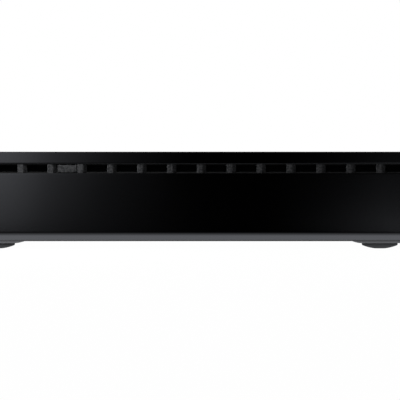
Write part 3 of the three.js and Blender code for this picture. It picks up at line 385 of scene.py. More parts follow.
def gloss_black():
    m = Maker("gloss_black")
    orange = m.noise(900, 2)
    fine = m.noise(5200, 2)
    cloud = m.noise(38, 3)
    normal = m.bump(fine, 1.6 * MICRON, 1.0, m.bump(orange, 3 * MICRON, 1.0))
    color = m.mix(cloud, (0.0005, 0.0005, 0.0006), (0.0009, 0.0009, 0.0010))
    rough = m.ramp(cloud, 0.3, 0.7, 0.09, 0.12)
    return m.done(color, rough, normal, IOR=1.62)


def grain_grey():
    m = Maker("grain_grey")
    grain = m.cells(4200)
    fine = m.noise(9000, 3, 0.6)
    fleck = m.noise(1300, 2, 0.6)
    cloud = m.noise(160, 3)
    height = m.math("ADD", m.math("MULTIPLY", grain, 0.7), fine)
    normal = m.bump(height, 40 * MICRON, 0.8, m.bump(fleck, 30 * MICRON, 0.6))
    speck = m.math("ADD", m.ramp(fine, 0.35, 0.65, 0.0, 0.3), m.ramp(fleck, 0.42, 0.58, 0.0, 0.7))
    color = m.mix(speck, (0.026, 0.027, 0.0285), (0.099, 0.100, 0.1035))
    rough = m.ramp(cloud, 0.3, 0.7, 0.55, 0.68)
    return m.done(color, rough, normal, Specular_IOR_Level=0.15)


def sheet_black():
    m = Maker("sheet_black")
    grain = m.noise(3000, 3, 0.6)
    coarse = m.cells(1300)
    cloud = m.noise(60, 3)
    normal = m.bump(grain, 12 * MICRON, 0.8, m.bump(coarse, 12 * MICRON, 0.6))
    color = m.mix(cloud, (0.15, 0.15, 0.155), (0.17, 0.17, 0.176))
    rough = m.ramp(grain, 0.3, 0.7, 0.36, 0.46)
    return m.done(color, rough, normal, Specular_IOR_Level=0.7)


def foot_rubber():
    m = Maker("foot_rubber")
    grain = m.noise(4200, 4, 0.65)
    cloud = m.noise(220, 3)
    normal = m.bump(grain, 20 * MICRON, 0.9)
    color = m.mix(cloud, (0.070, 0.071, 0.074), (0.095, 0.096, 0.100))
    rough = m.ramp(grain, 0.3, 0.7, 0.62, 0.8)
    return m.done(color, rough, normal, Specular_IOR_Level=0.22)


def moulded(name, low, high, rough_low, rough_high, scale=3600):
    """Moulded plastic: fine spark texture and slow colour drift."""
    m = Maker(name)
    grain = m.noise(scale, 3, 0.6)
    cloud = m.noise(130, 3)
    normal = m.bump(grain, 14 * MICRON, 0.9)
    color = m.mix(cloud, low, high)
    return m.done(color, m.ramp(grain, 0.3, 0.7, rough_low, rough_high), normal)


def metal(name, low, high, rough_low, rough_high, brushed):
    """Plated or machined metal: fine lines along one way, with slow stain."""
    m = Maker(name)
    lines = m.noise(2600, 3, 0.6, m.stretched(*brushed))
    cloud = m.noise(240, 4, 0.6)
    normal = m.bump(lines, 6 * MICRON, 0.7)
    color = m.mix(cloud, low, high)
    stain = m.ramp(cloud, 0.3, 0.7, -0.04, 0.05)
    rough = m.math("ADD", m.ramp(lines, 0.25, 0.75, rough_low, rough_high), stain)
    return m.done(color, rough, normal, Metallic=1.0)


def board_green():
    m = Maker("board_green")
    bricks = m.node("ShaderNodeTexBrick", {
        "Vector": m.coords, "Scale": 150.0, "Mortar Size": 0.16, "Mortar Smooth": 0.1, "Bias": 0.0,
        "Brick Width": 1.7, "Row Height": 0.33})
    tracks = bricks.outputs["Fac"]
    weave = m.noise(1500, 3, 0.6)
    mask = m.mix(weave, (0.006, 0.040, 0.022), (0.010, 0.056, 0.030))
    color = m.mix(tracks, mask, (0.014, 0.085, 0.044))
    normal = m.bump(tracks, 30 * MICRON, 0.7)
    return m.done(color, m.ramp(weave, 0.3, 0.7, 0.28, 0.42), normal)


def screen_black():
    m = Maker("screen_black")
    mesh = m.cells(2400)
    color = m.mix(m.ramp(mesh, 0.2, 0.7, 0, 1), (0.0004, 0.0004, 0.0004), (0.0022, 0.0022, 0.0023))
    return m.done(color, 0.95, m.bump(mesh, 60 * MICRON, 1.0), Specular_IOR_Level=0.1)


MATERIALS = {
    "gloss_black": gloss_black(),
    "grain_grey": grain_grey(),
    # The rails' finish is a darker copy of the grille's grey: painted shade for their recess behind the ribs
    "rail_painted_shade": moulded("rail_painted_shade", (0.010, 0.010, 0.010), (0.016, 0.016, 0.016), 0.45, 0.6),
    "sheet_black": sheet_black(),
    "foot_rubber": foot_rubber(),
    "dark_plastic": moulded("dark_plastic", (0.012, 0.012, 0.013), (0.02, 0.02, 0.021), 0.4, 0.55),
    "pale_plastic": moulded("pale_plastic", (0.62, 0.58, 0.47), (0.72, 0.68, 0.56), 0.38, 0.5),
    "board_green": board_green(),
    "chip_black": moulded("chip_black", (0.016, 0.016, 0.018), (0.028, 0.028, 0.03), 0.42, 0.6, 5200),
    "steel": metal("steel", (0.52, 0.52, 0.53), (0.64, 0.64, 0.65), 0.24, 0.38, (1, 0.2, 1)),
    "brass": metal("brass", (0.62, 0.44, 0.17), (0.74, 0.56, 0.25), 0.22, 0.36, (1, 1, 0.3)),
    "copper": metal("copper", (0.70, 0.34, 0.20), (0.84, 0.44, 0.28), 0.2, 0.36, (0.3, 1, 1)),
    "alloy": metal("alloy", (0.62, 0.63, 0.64), (0.74, 0.75, 0.76), 0.26, 0.42, (1, 0.15, 1)),
    "wire_black": moulded("wire_black", (0.010, 0.010, 0.011), (0.018, 0.018, 0.019), 0.42, 0.58, 2600),
    "screen_black": screen_black(),
}

for sub in frame["record"]["subparts"]:
    ob = frame["nodes"][sub["node"]]
    ob.data.materials.clear()
    ob.data.materials.append(MATERIALS[sub["material_slot"]])

# Widths in mm of the broken edges of solids that keep their own shape
EDGES = {
    "power_inlet": 0.3, "picture_socket": 0.12, "lan_socket": 0.2, "usb_socket": 0.2, "audio_socket": 0.2,
    "rear_panel": 0.12, "blower_base": 0.15, "blower_cover": 0.12, "cold_plate": 0.25, "heat_pipe": 0.5,
    "processor": 0.12, "memory_socket": 0.15, "storage_socket": 0.12, "cell_holder": 0.15, "coin_cell": 0.25,
    "key_board": 0.1, "memory_module": 0.06, "storage_card": 0.06, "power_switch": 0.12, "reset_switch": 0.12,
    **{f"board_standoff_{i}": 0.12 for i in (1, 2, 3, 4)},
}
SOLID_SHARP_ANGLE = math.radians(32)
SOLID_EDGE_SEGMENTS = 2

for name, ob in frame["nodes"].items():
    ob.data.shade_smooth()
    ob.data.set_sharp_from_angle(angle=SOLID_SHARP_ANGLE)
    if name in EDGES:
        edge = ob.modifiers.new("edge", "BEVEL")
        edge.width = EDGES[name] * MM
        edge.segments = SOLID_EDGE_SEGMENTS
        edge.limit_method = "ANGLE"
        edge.angle_limit = SOLID_SHARP_ANGLE
        edge.harden_normals = True


# The case

TUCK_BEND_RISE = TUCK_BEND * math.sin(TUCK_ANGLE)
TUCK_INSET = TUCK_BEND * (1 - math.cos(TUCK_ANGLE)) + (TUCK_RISE - TUCK_BEND_RISE) * math.tan(TUCK_ANGLE)
SUPPORT = 0.35 * MM
LID_BORDER = 12 * SUPPORT
PLATE_BORDER = 4 * SUPPORT
FLANGE_INNER = TUCK_INSET + FLANGE_WIDTH
POST_SIDE_GAP = 8 * MM
POST_REAR_GAP = 33 * MM
POSTS = [(a * (SIDE_X - POST_SIDE_GAP), b * (REAR_Y - POST_REAR_GAP)) for a in (-1, 1) for b in (-1, 1)]
OVERRUN = 1 * MM
POST_FACETS = 24


def rounded(z, radius, start, end, facets, turn_z=1):
    """Levels of a rounded edge: height and inset pairs along an arc, which turn_z = -1 turns downwards."""
    out = []
    for i in range(facets + 1):
        a = start + (end - start) * i / facets
        out.append((z + turn_z * radius * math.sin(a), radius * (1 - math.cos(a))))
    return out


WINDOW_ROUND = 0.8 * MM
KEY_POST_SIDE = 9.5 * MM
KEY_POST_DROP = 4 * MM
KEY_POST_ROOT = 1 * MM
KEY_POST_RADIUS = 2.4 * MM
KEY_POST_LENGTH = 11.8 * MM
KEY_BORE_RADIUS = 1.35 * MM
KEY_BORE_START = 8 * MM


def key_posts():
    """The two posts behind the front wall that carry the key's board."""
    posts = []
    for side in (-1, 1):
        post = turned("post", [(0, 0), (KEY_POST_RADIUS, 0), (KEY_POST_RADIUS, KEY_POST_LENGTH),
                               (KEY_BORE_RADIUS, KEY_POST_LENGTH), (KEY_BORE_RADIUS, KEY_BORE_START),
                               (0, KEY_BORE_START)], 0, 0, POST_FACETS)
        for v in post.data.vertices:
            x, y, z = v.co
            v.co = (KEY_X + side * KEY_POST_SIDE + x, -REAR_Y + KEY_POST_ROOT + z, VENT_Z - KEY_POST_DROP - y)
        posts.append(post)
    return join("posts", *posts)


def lower_shell():
    """Front, sides and rear with the tucked lower edge, its flange and the window for the sockets."""
    bend_top = SHELL_Z + TUCK_RISE
    levels = [(SHELL_Z, FLANGE_INNER), (SHELL_Z, TUCK_INSET + SUPPORT), (SHELL_Z, TUCK_INSET),
              (SHELL_Z + SUPPORT / 2, TUCK_INSET - SUPPORT / 2 * math.tan(TUCK_ANGLE))]
    levels += rounded(bend_top, TUCK_BEND, TUCK_ANGLE, 0, CORNER_FACETS, -1)
    levels += [(bend_top + SUPPORT, 0), (VENT_Z - EDGE_BREAK - SUPPORT, 0)]
    levels += rounded(VENT_Z - EDGE_BREAK, EDGE_BREAK, 0, QUARTER, EDGE_FACETS)
    levels += [(VENT_Z, EDGE_BREAK + SUPPORT), (VENT_Z, WALL), (bend_top, WALL),
               (FLANGE_TOP, TUCK_INSET + WALL), (FLANGE_TOP, FLANGE_INNER)]
    shell = stacked("case_shell", levels, closed_loop=True)
    window = box("cutter", -WINDOW_X, WINDOW_X, REAR_Y - WALL - OVERRUN, REAR_Y + OVERRUN,
                 WINDOW_LOW, WINDOW_HIGH)
    bevel(window, WINDOW_ROUND, segments=4)
    boolean(shell, window)
    boolean(shell, key_posts(), operation="UNION")
    shade(shell)
    return place(shell, "case", "gloss_black", "lower_shell")


LID_EDGE_FACETS = 7
LID_GAP = 0.01 * MM
LID_BORE_RADIUS = 1.65 * MM
LID_POST_RADIUS = 3.1 * MM
LID_POST_FLARE = 4 * MM
FLARE_HEIGHT = 1 * MM
POST_OVERLAP = 0.2 * MM


def lid():
    """The lid with its rim and the posts that take the cover screws."""
    levels = [(LID_Z, WALL), (LIP_Z + LID_GAP, WALL), (LIP_Z + LID_GAP, EDGE_BREAK + SUPPORT)]
    levels += rounded(LIP_Z + EDGE_BREAK, EDGE_BREAK, QUARTER, 0, EDGE_FACETS, -1)
    levels += [(LIP_Z + EDGE_BREAK + SUPPORT, 0), (TOP_Z - LID_EDGE - SUPPORT, 0)]
    levels += rounded(TOP_Z - LID_EDGE, LID_EDGE, 0, QUARTER, LID_EDGE_FACETS)
    levels += [(TOP_Z, LID_EDGE + SUPPORT), (TOP_Z, LID_EDGE + LID_BORDER)]
    cover = stacked("case_lid", levels)
    post_top = LID_Z + POST_OVERLAP
    profile = [(LID_BORE_RADIUS, FLANGE_TOP), (LID_POST_RADIUS, FLANGE_TOP),
               (LID_POST_RADIUS, LID_Z - FLARE_HEIGHT), (LID_POST_FLARE, post_top),
               (LID_BORE_RADIUS, post_top), (LID_BORE_RADIUS, FLANGE_TOP)]
    posts = [turned("post", profile, x, y, POST_FACETS) for x, y in POSTS]
    boolean(cover, join("posts", *posts), operation="UNION")
    shade(cover)
    return place(cover, "case", "gloss_black", "top_cover")


LONGEST_REACH_SHARE = 0.49


def fillet(points, radii, facets=EDGE_FACETS):
    """An outline with each corner rounded, by one radius or by its own."""
    out = []
    n = len(points)
    for i, p in enumerate(points):
        p = Vector(p)
        a = Vector(points[i - 1]) - p
        b = Vector(points[(i + 1) % n]) - p
        r = radii[i] if isinstance(radii, (list, tuple)) else radii
        if r <= 0:
            out.append(tuple(p))
            continue
        half = a.angle(b) / 2
        reach = min(r / math.tan(half), LONGEST_REACH_SHARE * a.length, LONGEST_REACH_SHARE * b.length)
        start = p + a.normalized() * reach
        end = p + b.normalized() * reach
        for k in range(facets + 1):
            t = k / facets
            q = start * (1 - t) ** 2 + p * 2 * t * (1 - t) + end * t ** 2
            out.append(tuple(q))
    return out


TONGUE_Y = WALL - GRILLE_RECESS + FIT
RAIL_ROUNDS = [0, 0.1 * MM, 0.15 * MM, 0.2 * MM, 0.3 * MM, 0.3 * MM, 0]
RIB_ROUNDS = [0.42 * MM, 1.1 * MM, 0.2 * MM, 0.2 * MM, 0.2 * MM]
RIB_FACETS = 8
END_ROUND = 0.14 * MM
RIB_GAP = 0.02 * MM


def row_rails(name, start, stop):
    """The lower and the upper rail of a vent row, from one outline in YZ."""
    rail = [(RAIL_SETBACK, 0), (RAIL_SETBACK, RAIL_HEIGHT - RAIL_BEVEL),
            (RAIL_SETBACK + RAIL_BEVEL, RAIL_HEIGHT), (GRILLE_THICKNESS, RAIL_HEIGHT),
            (GRILLE_THICKNESS, -TONGUE), (TONGUE_Y, -TONGUE), (TONGUE_Y, 0)]
    low = fillet(rail, RAIL_ROUNDS)
    high = [(y, LIP_Z - VENT_Z - z) for y, z in reversed(low)]
    return join(name, prism("rail", low, "x", start, stop), prism("rail", high, "x", start, stop))


def row_end(side, half, row_half, shift, corner_depth):
    """The outline that fills a row beyond its last slot, around the case's corner where a depth is given."""
    if corner_depth is None:
        edge = shift + side * row_half
        outline = [(edge, 0), (side * half, 0), (side * half, GRILLE_THICKNESS), (edge, GRILLE_THICKNESS)]
        return fillet(outline, END_ROUND)
    r = CORNER - GRILLE_RECESS
    sweep = math.acos(1 - corner_depth / r)
    curve = arc(side * (half - r), r, r, -QUARTER, -QUARTER + side * sweep, CORNER_FACETS)
    edge = side * min(row_half + side * shift, half - CORNER)
    return [(edge, 0), *curve, (edge, corner_depth)]


def vent_row(name, length, slots, shift, angle, offset, corner_depth=None, span=None):
    """One row along X with its ribs' faces on y = 0, then turned and moved to its side of the case."""
    row_half = ((slots - 1) * SLOT_PITCH + SLOT_WIDTH) / 2
    half = length / 2
    rib_low, rib_high = RIB_GAP, LIP_Z - VENT_Z - RIB_GAP
    reach = half if corner_depth is None else half - TONGUE_Y
    start, stop = span or (-reach, reach)
    row = row_rails(name, start, stop)
    uprights = []
    for i in range(1, slots):
        x = shift - row_half + i * SLOT_PITCH - RIB_WIDTH
        if x < start - FIT or x + RIB_WIDTH > stop + FIT:
            continue
        rib = fillet([(x, 0), (x + RIB_FLAT, 0), (x + RIB_WIDTH - RIB_TAPER / 2, RIB_SLANT),
                      (x + RIB_WIDTH - RIB_TAPER, GRILLE_THICKNESS), (x + RIB_TAPER, GRILLE_THICKNESS)],
                     RIB_ROUNDS, RIB_FACETS)
        uprights.append(prism("rib", rib, "z", rib_low, rib_high))
    for side in (-1, 1):
        if start <= side * reach <= stop:
            outline = row_end(side, half, row_half, shift, corner_depth)
            uprights.append(prism("end", outline, "z", rib_low, rib_high))
    uprights = join("uprights", *uprights)
    # The rails take the darker copy of the grey as painted shade for their recess; the ribs keep the grey
    for ob, index in ((row, 1), (uprights, 0)):
        ob.data.materials.append(MATERIALS["grain_grey"])
        ob.data.materials.append(MATERIALS["rail_painted_shade"])
        for face in ob.data.polygons:
            face.material_index = index
    boolean(row, uprights, operation="UNION")
    shade(row)
    c, s = round(math.cos(angle)), round(math.sin(angle))
    for v in row.data.vertices:
        x, y, z = v.co
        v.co = (c * x - s * y + offset[0], s * x + c * y + offset[1], z + VENT_Z)
    return row


FRONT_SLOTS = 15
SIDE_SLOTS = 11


def grilles():
    across = 2 * (SIDE_X - GRILLE_RECESS)
    along = 2 * (REAR_Y - GRILLE_RECESS - GRILLE_THICKNESS - FIT)
    depth = GRILLE_THICKNESS
    reach = across / 2 - TONGUE_Y
    front = (0, -REAR_Y + GRILLE_RECESS)
    rear = (0, REAR_Y - GRILLE_RECESS)
    rows = {
        "front_left_grille": vent_row("vent_front_left", across, FRONT_SLOTS, ROW_SHIFT, 0, front, depth,
                                      (-reach, KEY_X - SLOT_WIDTH / 2)),
        "front_right_grille": vent_row("vent_front_right", across, FRONT_SLOTS, ROW_SHIFT, 0, front, depth,
                                       (KEY_X + SLOT_WIDTH / 2, reach)),
        "rear_grille": vent_row("vent_rear", across, FRONT_SLOTS, 0, math.pi, rear, depth),
        "left_grille": vent_row("vent_left", along, SIDE_SLOTS, 0, -QUARTER, (-SIDE_X + GRILLE_RECESS, 0)),
        "right_grille": vent_row("vent_right", along, SIDE_SLOTS, 0, QUARTER, (SIDE_X - GRILLE_RECESS, 0)),
    }
    return [place(row, "case", "grain_grey", node) for node, row in rows.items()]


KEY_ROUND = 0.28 * MM
KEY_OVERLAP = 0.1 * MM
STOP_MARGIN = 1.2 * MM
STOP_THICKNESS = 1 * MM
STOP_ROUND = 0.15 * MM
STEM_HALF = 1 * MM
STEM_OVERLAP = 0.5 * MM
SWITCH_FACE_Y = -74.2 * MM


def power_key():
    """The cap in its slot, the stop behind the row and the stem that meets the switch."""
    half = SLOT_WIDTH / 2 - FIT
    front = -REAR_Y + GRILLE_RECESS
    stop_y = front + GRILLE_THICKNESS + FIT
    low = KEY_Z - KEY_HEIGHT / 2 - KEY_DROP
    cap = box("key_cap", KEY_X - half, KEY_X + half, front, stop_y + KEY_OVERLAP, low, low + KEY_HEIGHT)
    bevel(cap, KEY_ROUND, segments=4)
    stop = box("stop", KEY_X - half - STOP_MARGIN, KEY_X + half + STOP_MARGIN,
               stop_y, stop_y + STOP_THICKNESS,
               KEY_Z - KEY_HEIGHT / 2 - STOP_MARGIN, KEY_Z + KEY_HEIGHT / 2 + STOP_MARGIN)
    bevel(stop, STOP_ROUND, segments=2)
    stem = box("stem", KEY_X - STEM_HALF, KEY_X + STEM_HALF, stop_y + STEM_OVERLAP, SWITCH_FACE_Y,
               KEY_Z - STEM_HALF, KEY_Z + STEM_HALF)
    bevel(stem, STOP_ROUND, segments=2)
    boolean(cap, stop, stem, operation="UNION")
    shade(cap)
    return place(cap, "power_key", "grain_grey", "power_key")


BOSS_REACH = 14.6 * MM
BOSS_STEPS = 8
BOSS_FACETS = 36
BOSS_LEAN = 0.35 * MM
LEAN_HEIGHT = 1.2 * MM
BOSS_CUT_TOP = 5 * MM
SINK_RADIUS = 2.9 * MM
SINK_OVERRUN_RADIUS = 3.95 * MM
SINK_DEPTH = 1.2 * MM
SHANK_HOLE = 1.7 * MM
STANDOFF_HOLE = 2.35 * MM
STANDOFF_X = (-81 * MM, 29 * MM)
STANDOFF_Y = (-36.5 * MM, 47.5 * MM)
BLOWER_SCREWS = [(79.32 * MM, 15.88 * MM), (44.68 * MM, 15.88 * MM)]
HOLE_FACETS = 32


def boss_ring(x, y, radius, z):
    """A boss's outline at one height: a half circle that runs out to the nearer long edge of the case."""
    side = 1 if y > 0 else -1
    out_y = y + side * BOSS_REACH
    start = math.pi if side > 0 else 0
    inner = arc(x, y, radius, start, start + math.pi, BOSS_FACETS)
    return at([(inner[0][0], out_y), *inner, (inner[-1][0], out_y)], z)


def foot_boss(x, y):
    """A shallow dome under the plate that carries a foot."""
    rings = []
    for i in range(BOSS_STEPS, -1, -1):
        a = QUARTER * i / BOSS_STEPS
        radius = BOSS_FLAT + (BOSS_RADIUS - BOSS_FLAT) * math.cos(a)
        rings.append(boss_ring(x, y, radius, PLATE_Z - BOSS_DROP * math.sin(a)))
    rings.append(boss_ring(x, y, BOSS_RADIUS, PLATE_Z + PLATE / 2))
    return loft("boss", rings)


def bottom_plate():
    """The plate with its bosses, whose outer faces lean inwards below the plate's edge."""
    plate = stacked("base_plate", [(SHELL_Z, TUCK_INSET + PLATE_BORDER), (SHELL_Z, TUCK_INSET),
                                   (PLATE_Z, TUCK_INSET), (PLATE_Z, TUCK_INSET + PLATE_BORDER)])
    edge = stacked("edge", [(PLATE_Z - LEAN_HEIGHT, TUCK_INSET + BOSS_LEAN), (PLATE_Z, TUCK_INSET),
                            (BOSS_CUT_TOP, TUCK_INSET)])
    bosses = [foot_boss(x, y) for x in (-FOOT_X, FOOT_X) for y in (-FOOT_Y, FOOT_Y)]
    for boss in bosses:
        cut_with(boss, edge, "INTERSECT")
    bpy.data.objects.remove(edge)
    boolean(plate, *bosses, operation="UNION")
    under = PLATE_Z - OVERRUN
    sink = [(0, under), (SINK_OVERRUN_RADIUS, under), (SINK_RADIUS, PLATE_Z),
            (SHANK_HOLE, PLATE_Z + SINK_DEPTH), (0, PLATE_Z + SINK_DEPTH)]
    through = [(0, under), (STANDOFF_HOLE, under), (STANDOFF_HOLE, SHELL_Z + OVERRUN), (0, SHELL_Z + OVERRUN)]
    holes = [turned("hole", sink, x, y, HOLE_FACETS) for x, y in POSTS + BLOWER_SCREWS]
    holes += [turned("hole", through, x, y, HOLE_FACETS) for x in STANDOFF_X for y in STANDOFF_Y]
    boolean(plate, *holes)
    shade(plate, PLATE_SHARP_ANGLE)
    return place(plate, "case", "sheet_black", "bottom_plate")


FOOT_FLAT_SHARE = 0.8
CROWN_STEPS = 16
ROUND_STEPS = 8
FOOT_EDGE = 0.2 * MM
BARB_RADIUS = 2.9 * MM
BARB_HEIGHT = 1.6 * MM
FOOT_FACETS = 72


def foot_profile():
    """Radius and height pairs: crown, rounded rim, flat back, stem and barb."""
    start = math.asin(FOOT_FLAT / FOOT_CROWN)
    end = math.asin((FOOT_RADIUS - FOOT_ROUND) / (FOOT_CROWN - FOOT_ROUND))
    centre = FOOT_CROWN * math.cos(start)
    rim_r = FOOT_RADIUS - FOOT_ROUND
    rim_z = centre - (FOOT_CROWN - FOOT_ROUND) * math.cos(end)
    profile = [(0, 0), (FOOT_FLAT * FOOT_FLAT_SHARE, 0)]
    for i in range(CROWN_STEPS + 1):
        t = start + (end - start) * i / CROWN_STEPS
        profile.append((FOOT_CROWN * math.sin(t), centre - FOOT_CROWN * math.cos(t)))
    for i in range(1, ROUND_STEPS + 1):
        t = end + (QUARTER - end) * i / ROUND_STEPS
        profile.append((rim_r + FOOT_ROUND * math.sin(t), rim_z - FOOT_ROUND * math.cos(t)))
    seat = FOOT_DROP + PLATE + FIT
    return profile + [(FOOT_RADIUS, FOOT_DROP - FOOT_EDGE), (FOOT_RADIUS - FOOT_EDGE, FOOT_DROP),
                      (STEM_RADIUS, FOOT_DROP), (STEM_RADIUS, seat), (BARB_RADIUS, seat),
                      (STEM_RADIUS, seat + BARB_HEIGHT), (0, seat + BARB_HEIGHT)]


def feet():
    out = []
    names = {(-1, -1): "front_left_foot", (1, -1): "front_right_foot",
             (-1, 1): "rear_left_foot", (1, 1): "rear_right_foot"}
    for (a, b), node in names.items():
        ob = turned("foot_" + node, foot_profile(), a * FOOT_X, b * FOOT_Y, FOOT_FACETS)
        out.append(place(ob, "case", "foot_rubber", node))
    return out


HEAD_RADIUS = 2.75 * MM
HEAD_EDGE = 0.15 * MM
HEAD_EDGE_HEIGHT = 0.08 * MM
SHANK_RADIUS = 1.5 * MM
SHANK_TIP_SHARE = 0.5
THREAD_START = 1.6 * MM
THREAD_PITCH = 0.5 * MM
THREAD_RISE = 0.25 * MM
THREAD_DEPTH = 0.22 * MM
THREAD_END = 1 * MM
CROSS_LENGTH = 1.5 * MM
CROSS_WIDTH = 0.28 * MM
CROSS_DEPTH = 0.9 * MM
CROSS_OVERRUN = 0.2 * MM
CROSS_TAPER_SHARES = (0.6, 0.8)


def rectangle(x, y, half_x, half_y, z):
    return at([(x - half_x, y - half_y), (x + half_x, y - half_y),
               (x + half_x, y + half_y), (x - half_x, y + half_y)], z)


def screw(node, x, y, length):
    """Flat-headed screw with a cross recess, its head flush with the base plate."""
    tip = PLATE_Z + length
    profile = [(0, PLATE_Z), (HEAD_RADIUS - HEAD_EDGE, PLATE_Z), (HEAD_RADIUS, PLATE_Z + HEAD_EDGE_HEIGHT),
               (SHANK_RADIUS, PLATE_Z + SINK_DEPTH)]
    z = PLATE_Z + THREAD_START
    while z < tip - THREAD_END:
        profile += [(SHANK_RADIUS - THREAD_DEPTH, z), (SHANK_RADIUS, z + THREAD_RISE)]
        z += THREAD_PITCH
    profile += [(SHANK_RADIUS * SHANK_TIP_SHARE, tip), (0, tip)]
    body = turned("screw_" + node, profile, x, y, HOLE_FACETS)
    cross = []
    for w, d in ((CROSS_LENGTH, CROSS_WIDTH), (CROSS_WIDTH, CROSS_LENGTH)):
        deep_w, deep_d = w * CROSS_TAPER_SHARES[0], d * CROSS_TAPER_SHARES[1]
        cross.append(loft("cross", [rectangle(x, y, w, d, PLATE_Z - CROSS_OVERRUN),
                                    rectangle(x, y, deep_w, deep_d, PLATE_Z + CROSS_DEPTH)]))
    boolean(body, *cross)
    shade(body, TURNED_SHARP_ANGLE)
    return place(body, "case", "steel", node)


# What shows in the mouths of the rear sockets

MOUTH_Y = 81 * MM
BARREL_FACETS = 40
RING_EDGE = 0.04 * MM
SKIN_ROUND = 0.18 * MM
TONGUE_HALF_HEIGHT = 0.66 * MM

INLET_X, INLET_Z = -75.5 * MM, 17 * MM
SLEEVE_OUTER, SLEEVE_INNER = 3.06 * MM, 2.8 * MM
SLEEVE_START, SLEEVE_END = 73 * MM, 80.5 * MM
PIN_START, PIN_RADIUS = 72.2 * MM, 1.06 * MM
PIN_NOSE = [(PIN_RADIUS, 80.3 * MM), (0.9 * MM, 80.65 * MM), (0.55 * MM, 80.8 * MM), (0, 80.82 * MM)]

AUDIO_X, AUDIO_Z = 18.8 * MM, 14.5 * MM
AUDIO_OUTER, AUDIO_INNER = 1.78 * MM, 1.6 * MM
AUDIO_START, AUDIO_END = 74 * MM, 80.4 * MM

CONTACT_START, CONTACT_END = 71.5 * MM, 78.4 * MM
CONTACT_THICKNESS = 0.05 * MM
PICTURE_X, PICTURE_Z = -43.62 * MM, 14.3 * MM
PICTURE_HALF_WIDTH = 5.05 * MM
PICTURE_START, PICTURE_END = 70.9 * MM, 78.66 * MM
PICTURE_CONTACT_RISE = 0.65 * MM
PICTURE_PITCH, PICTURE_CONTACT_WIDTH = 1 * MM, 0.42 * MM
PICTURE_CONTACTS = 10

LAN_X, LAN_ROOF, LAN_TOP = -21.18 * MM, 21.5 * MM, 24.9 * MM
LAN_PITCH, LAN_CONTACT_WIDTH = 1.02 * MM, 0.4 * MM
LAN_CONTACTS = 8
LAN_SPRING = [(79 * MM, -0.15 * MM), (79 * MM, -0.45 * MM), (70.5 * MM, -4.1 * MM), (68.5 * MM, -3.9 * MM),
              (68.5 * MM, -3.6 * MM), (70.4 * MM, -3.75 * MM), (78.8 * MM, -0.15 * MM)]
LAMP_SIDE, LAMP_HALF_WIDTH = 5.4 * MM, 1.3 * MM
LAMP_DEPTH, LAMP_PROUD = 0.4 * MM, 0.06 * MM
LAMP_LOW, LAMP_HIGH = 2.3 * MM, 1 * MM
LAMP_ROUND = 0.1 * MM

USB_X, USB_Z = 1.06 * MM, (15.4 * MM, 23.2 * MM)
USB_HALF_WIDTH = 5.85 * MM
USB_START, USB_END = 64.8 * MM, 79.86 * MM
USB_TONGUE_RISE = 0.6 * MM
USB_CONTACT_SHIFT, USB_CONTACT_DROP = 1 * MM, 0.11 * MM
USB_CONTACT_WIDTH = 1 * MM
USB_PITCHES = (2 * MM, 7 * MM)


def barrel(name, profile, x, z):
    """A turned piece about an axis along Y, from radius and Y pairs."""
    ob = turned(name, profile, 0, 0, BARREL_FACETS)
    for v in ob.data.vertices:
        a, b, y = v.co
        v.co = (x + a, y, z - b)
    shade(ob, TURNED_SHARP_ANGLE)
    return ob


def ring(name, outer, inner, y0, y1, x, z):
    return barrel(name, [(inner, y0), (outer, y0), (outer, y1 - RING_EDGE), (outer - RING_EDGE, y1),
                         (inner + RING_EDGE, y1), (inner, y1 - RING_EDGE), (inner, y0)], x, z)


def tongue(name, x, z, half_width, y0, y1):
    """A closed skin over a contact tongue."""
    ob = box(name, x - half_width, x + half_width, y0, y1, z - TONGUE_HALF_HEIGHT, z + TONGUE_HALF_HEIGHT)
    bevel(ob, SKIN_ROUND, segments=3)
    shade(ob)
    return place(ob, "case", "dark_plastic")


def strips(name, x, pitch, count, width, outline):
    """Contact strips side by side, each one a YZ outline as wide as given."""
    parts = []
    for i in range(count):
        middle = x + (i - (count - 1) / 2) * pitch
        parts.append(prism("strip", outline, "x", middle - width / 2, middle + width / 2))
    return place(join(name, *parts), "case", "brass")


def flat_contact(shift, z):
    """The YZ outline of a flat contact strip."""
    start, end = CONTACT_START + shift, CONTACT_END + shift
    return [(start, z), (end, z), (end, CONTACT_THICKNESS + z), (start, CONTACT_THICKNESS + z)]


def round_contacts():
    """The inlet's sleeve and pin and the sound socket's contact."""
    pin = [(0, PIN_START), (PIN_RADIUS, PIN_START), *PIN_NOSE]
    obs = [
        ring("inlet_sleeve", SLEEVE_OUTER, SLEEVE_INNER, SLEEVE_START, SLEEVE_END, INLET_X, INLET_Z),
        barrel("inlet_pin", pin, INLET_X, INLET_Z),
        ring("audio_contact", AUDIO_OUTER, AUDIO_INNER, AUDIO_START, AUDIO_END, AUDIO_X, AUDIO_Z),
    ]
    return [place(ob, "case", "steel") for ob in obs]


def picture_details():
    """The picture socket's tongue with its contacts on top."""
    outline = flat_contact(0, PICTURE_Z + PICTURE_CONTACT_RISE)
    return [
        tongue("picture_tongue", PICTURE_X, PICTURE_Z, PICTURE_HALF_WIDTH, PICTURE_START, PICTURE_END),
        strips("picture_contacts", PICTURE_X, PICTURE_PITCH, PICTURE_CONTACTS, PICTURE_CONTACT_WIDTH,
               outline),
    ]


def lan_details():
    """The network socket's spring contacts and its two lamp windows."""
    spring = [(y, z + LAN_ROOF) for y, z in LAN_SPRING]
    contacts = strips("lan_contacts", LAN_X, LAN_PITCH, LAN_CONTACTS, LAN_CONTACT_WIDTH, spring)
    lamps = []
    for side in (-1, 1):
        x = LAN_X + side * LAMP_SIDE
        lamp = box("lamp", x - LAMP_HALF_WIDTH, x + LAMP_HALF_WIDTH,
                   MOUTH_Y - LAMP_DEPTH, MOUTH_Y + LAMP_PROUD, LAN_TOP - LAMP_LOW, LAN_TOP - LAMP_HIGH)
        bevel(lamp, LAMP_ROUND, segments=3)
        shade(lamp)
        lamps.append(lamp)
    return [contacts, place(join("lan_lamps", *lamps), "case", "pale_plastic")]


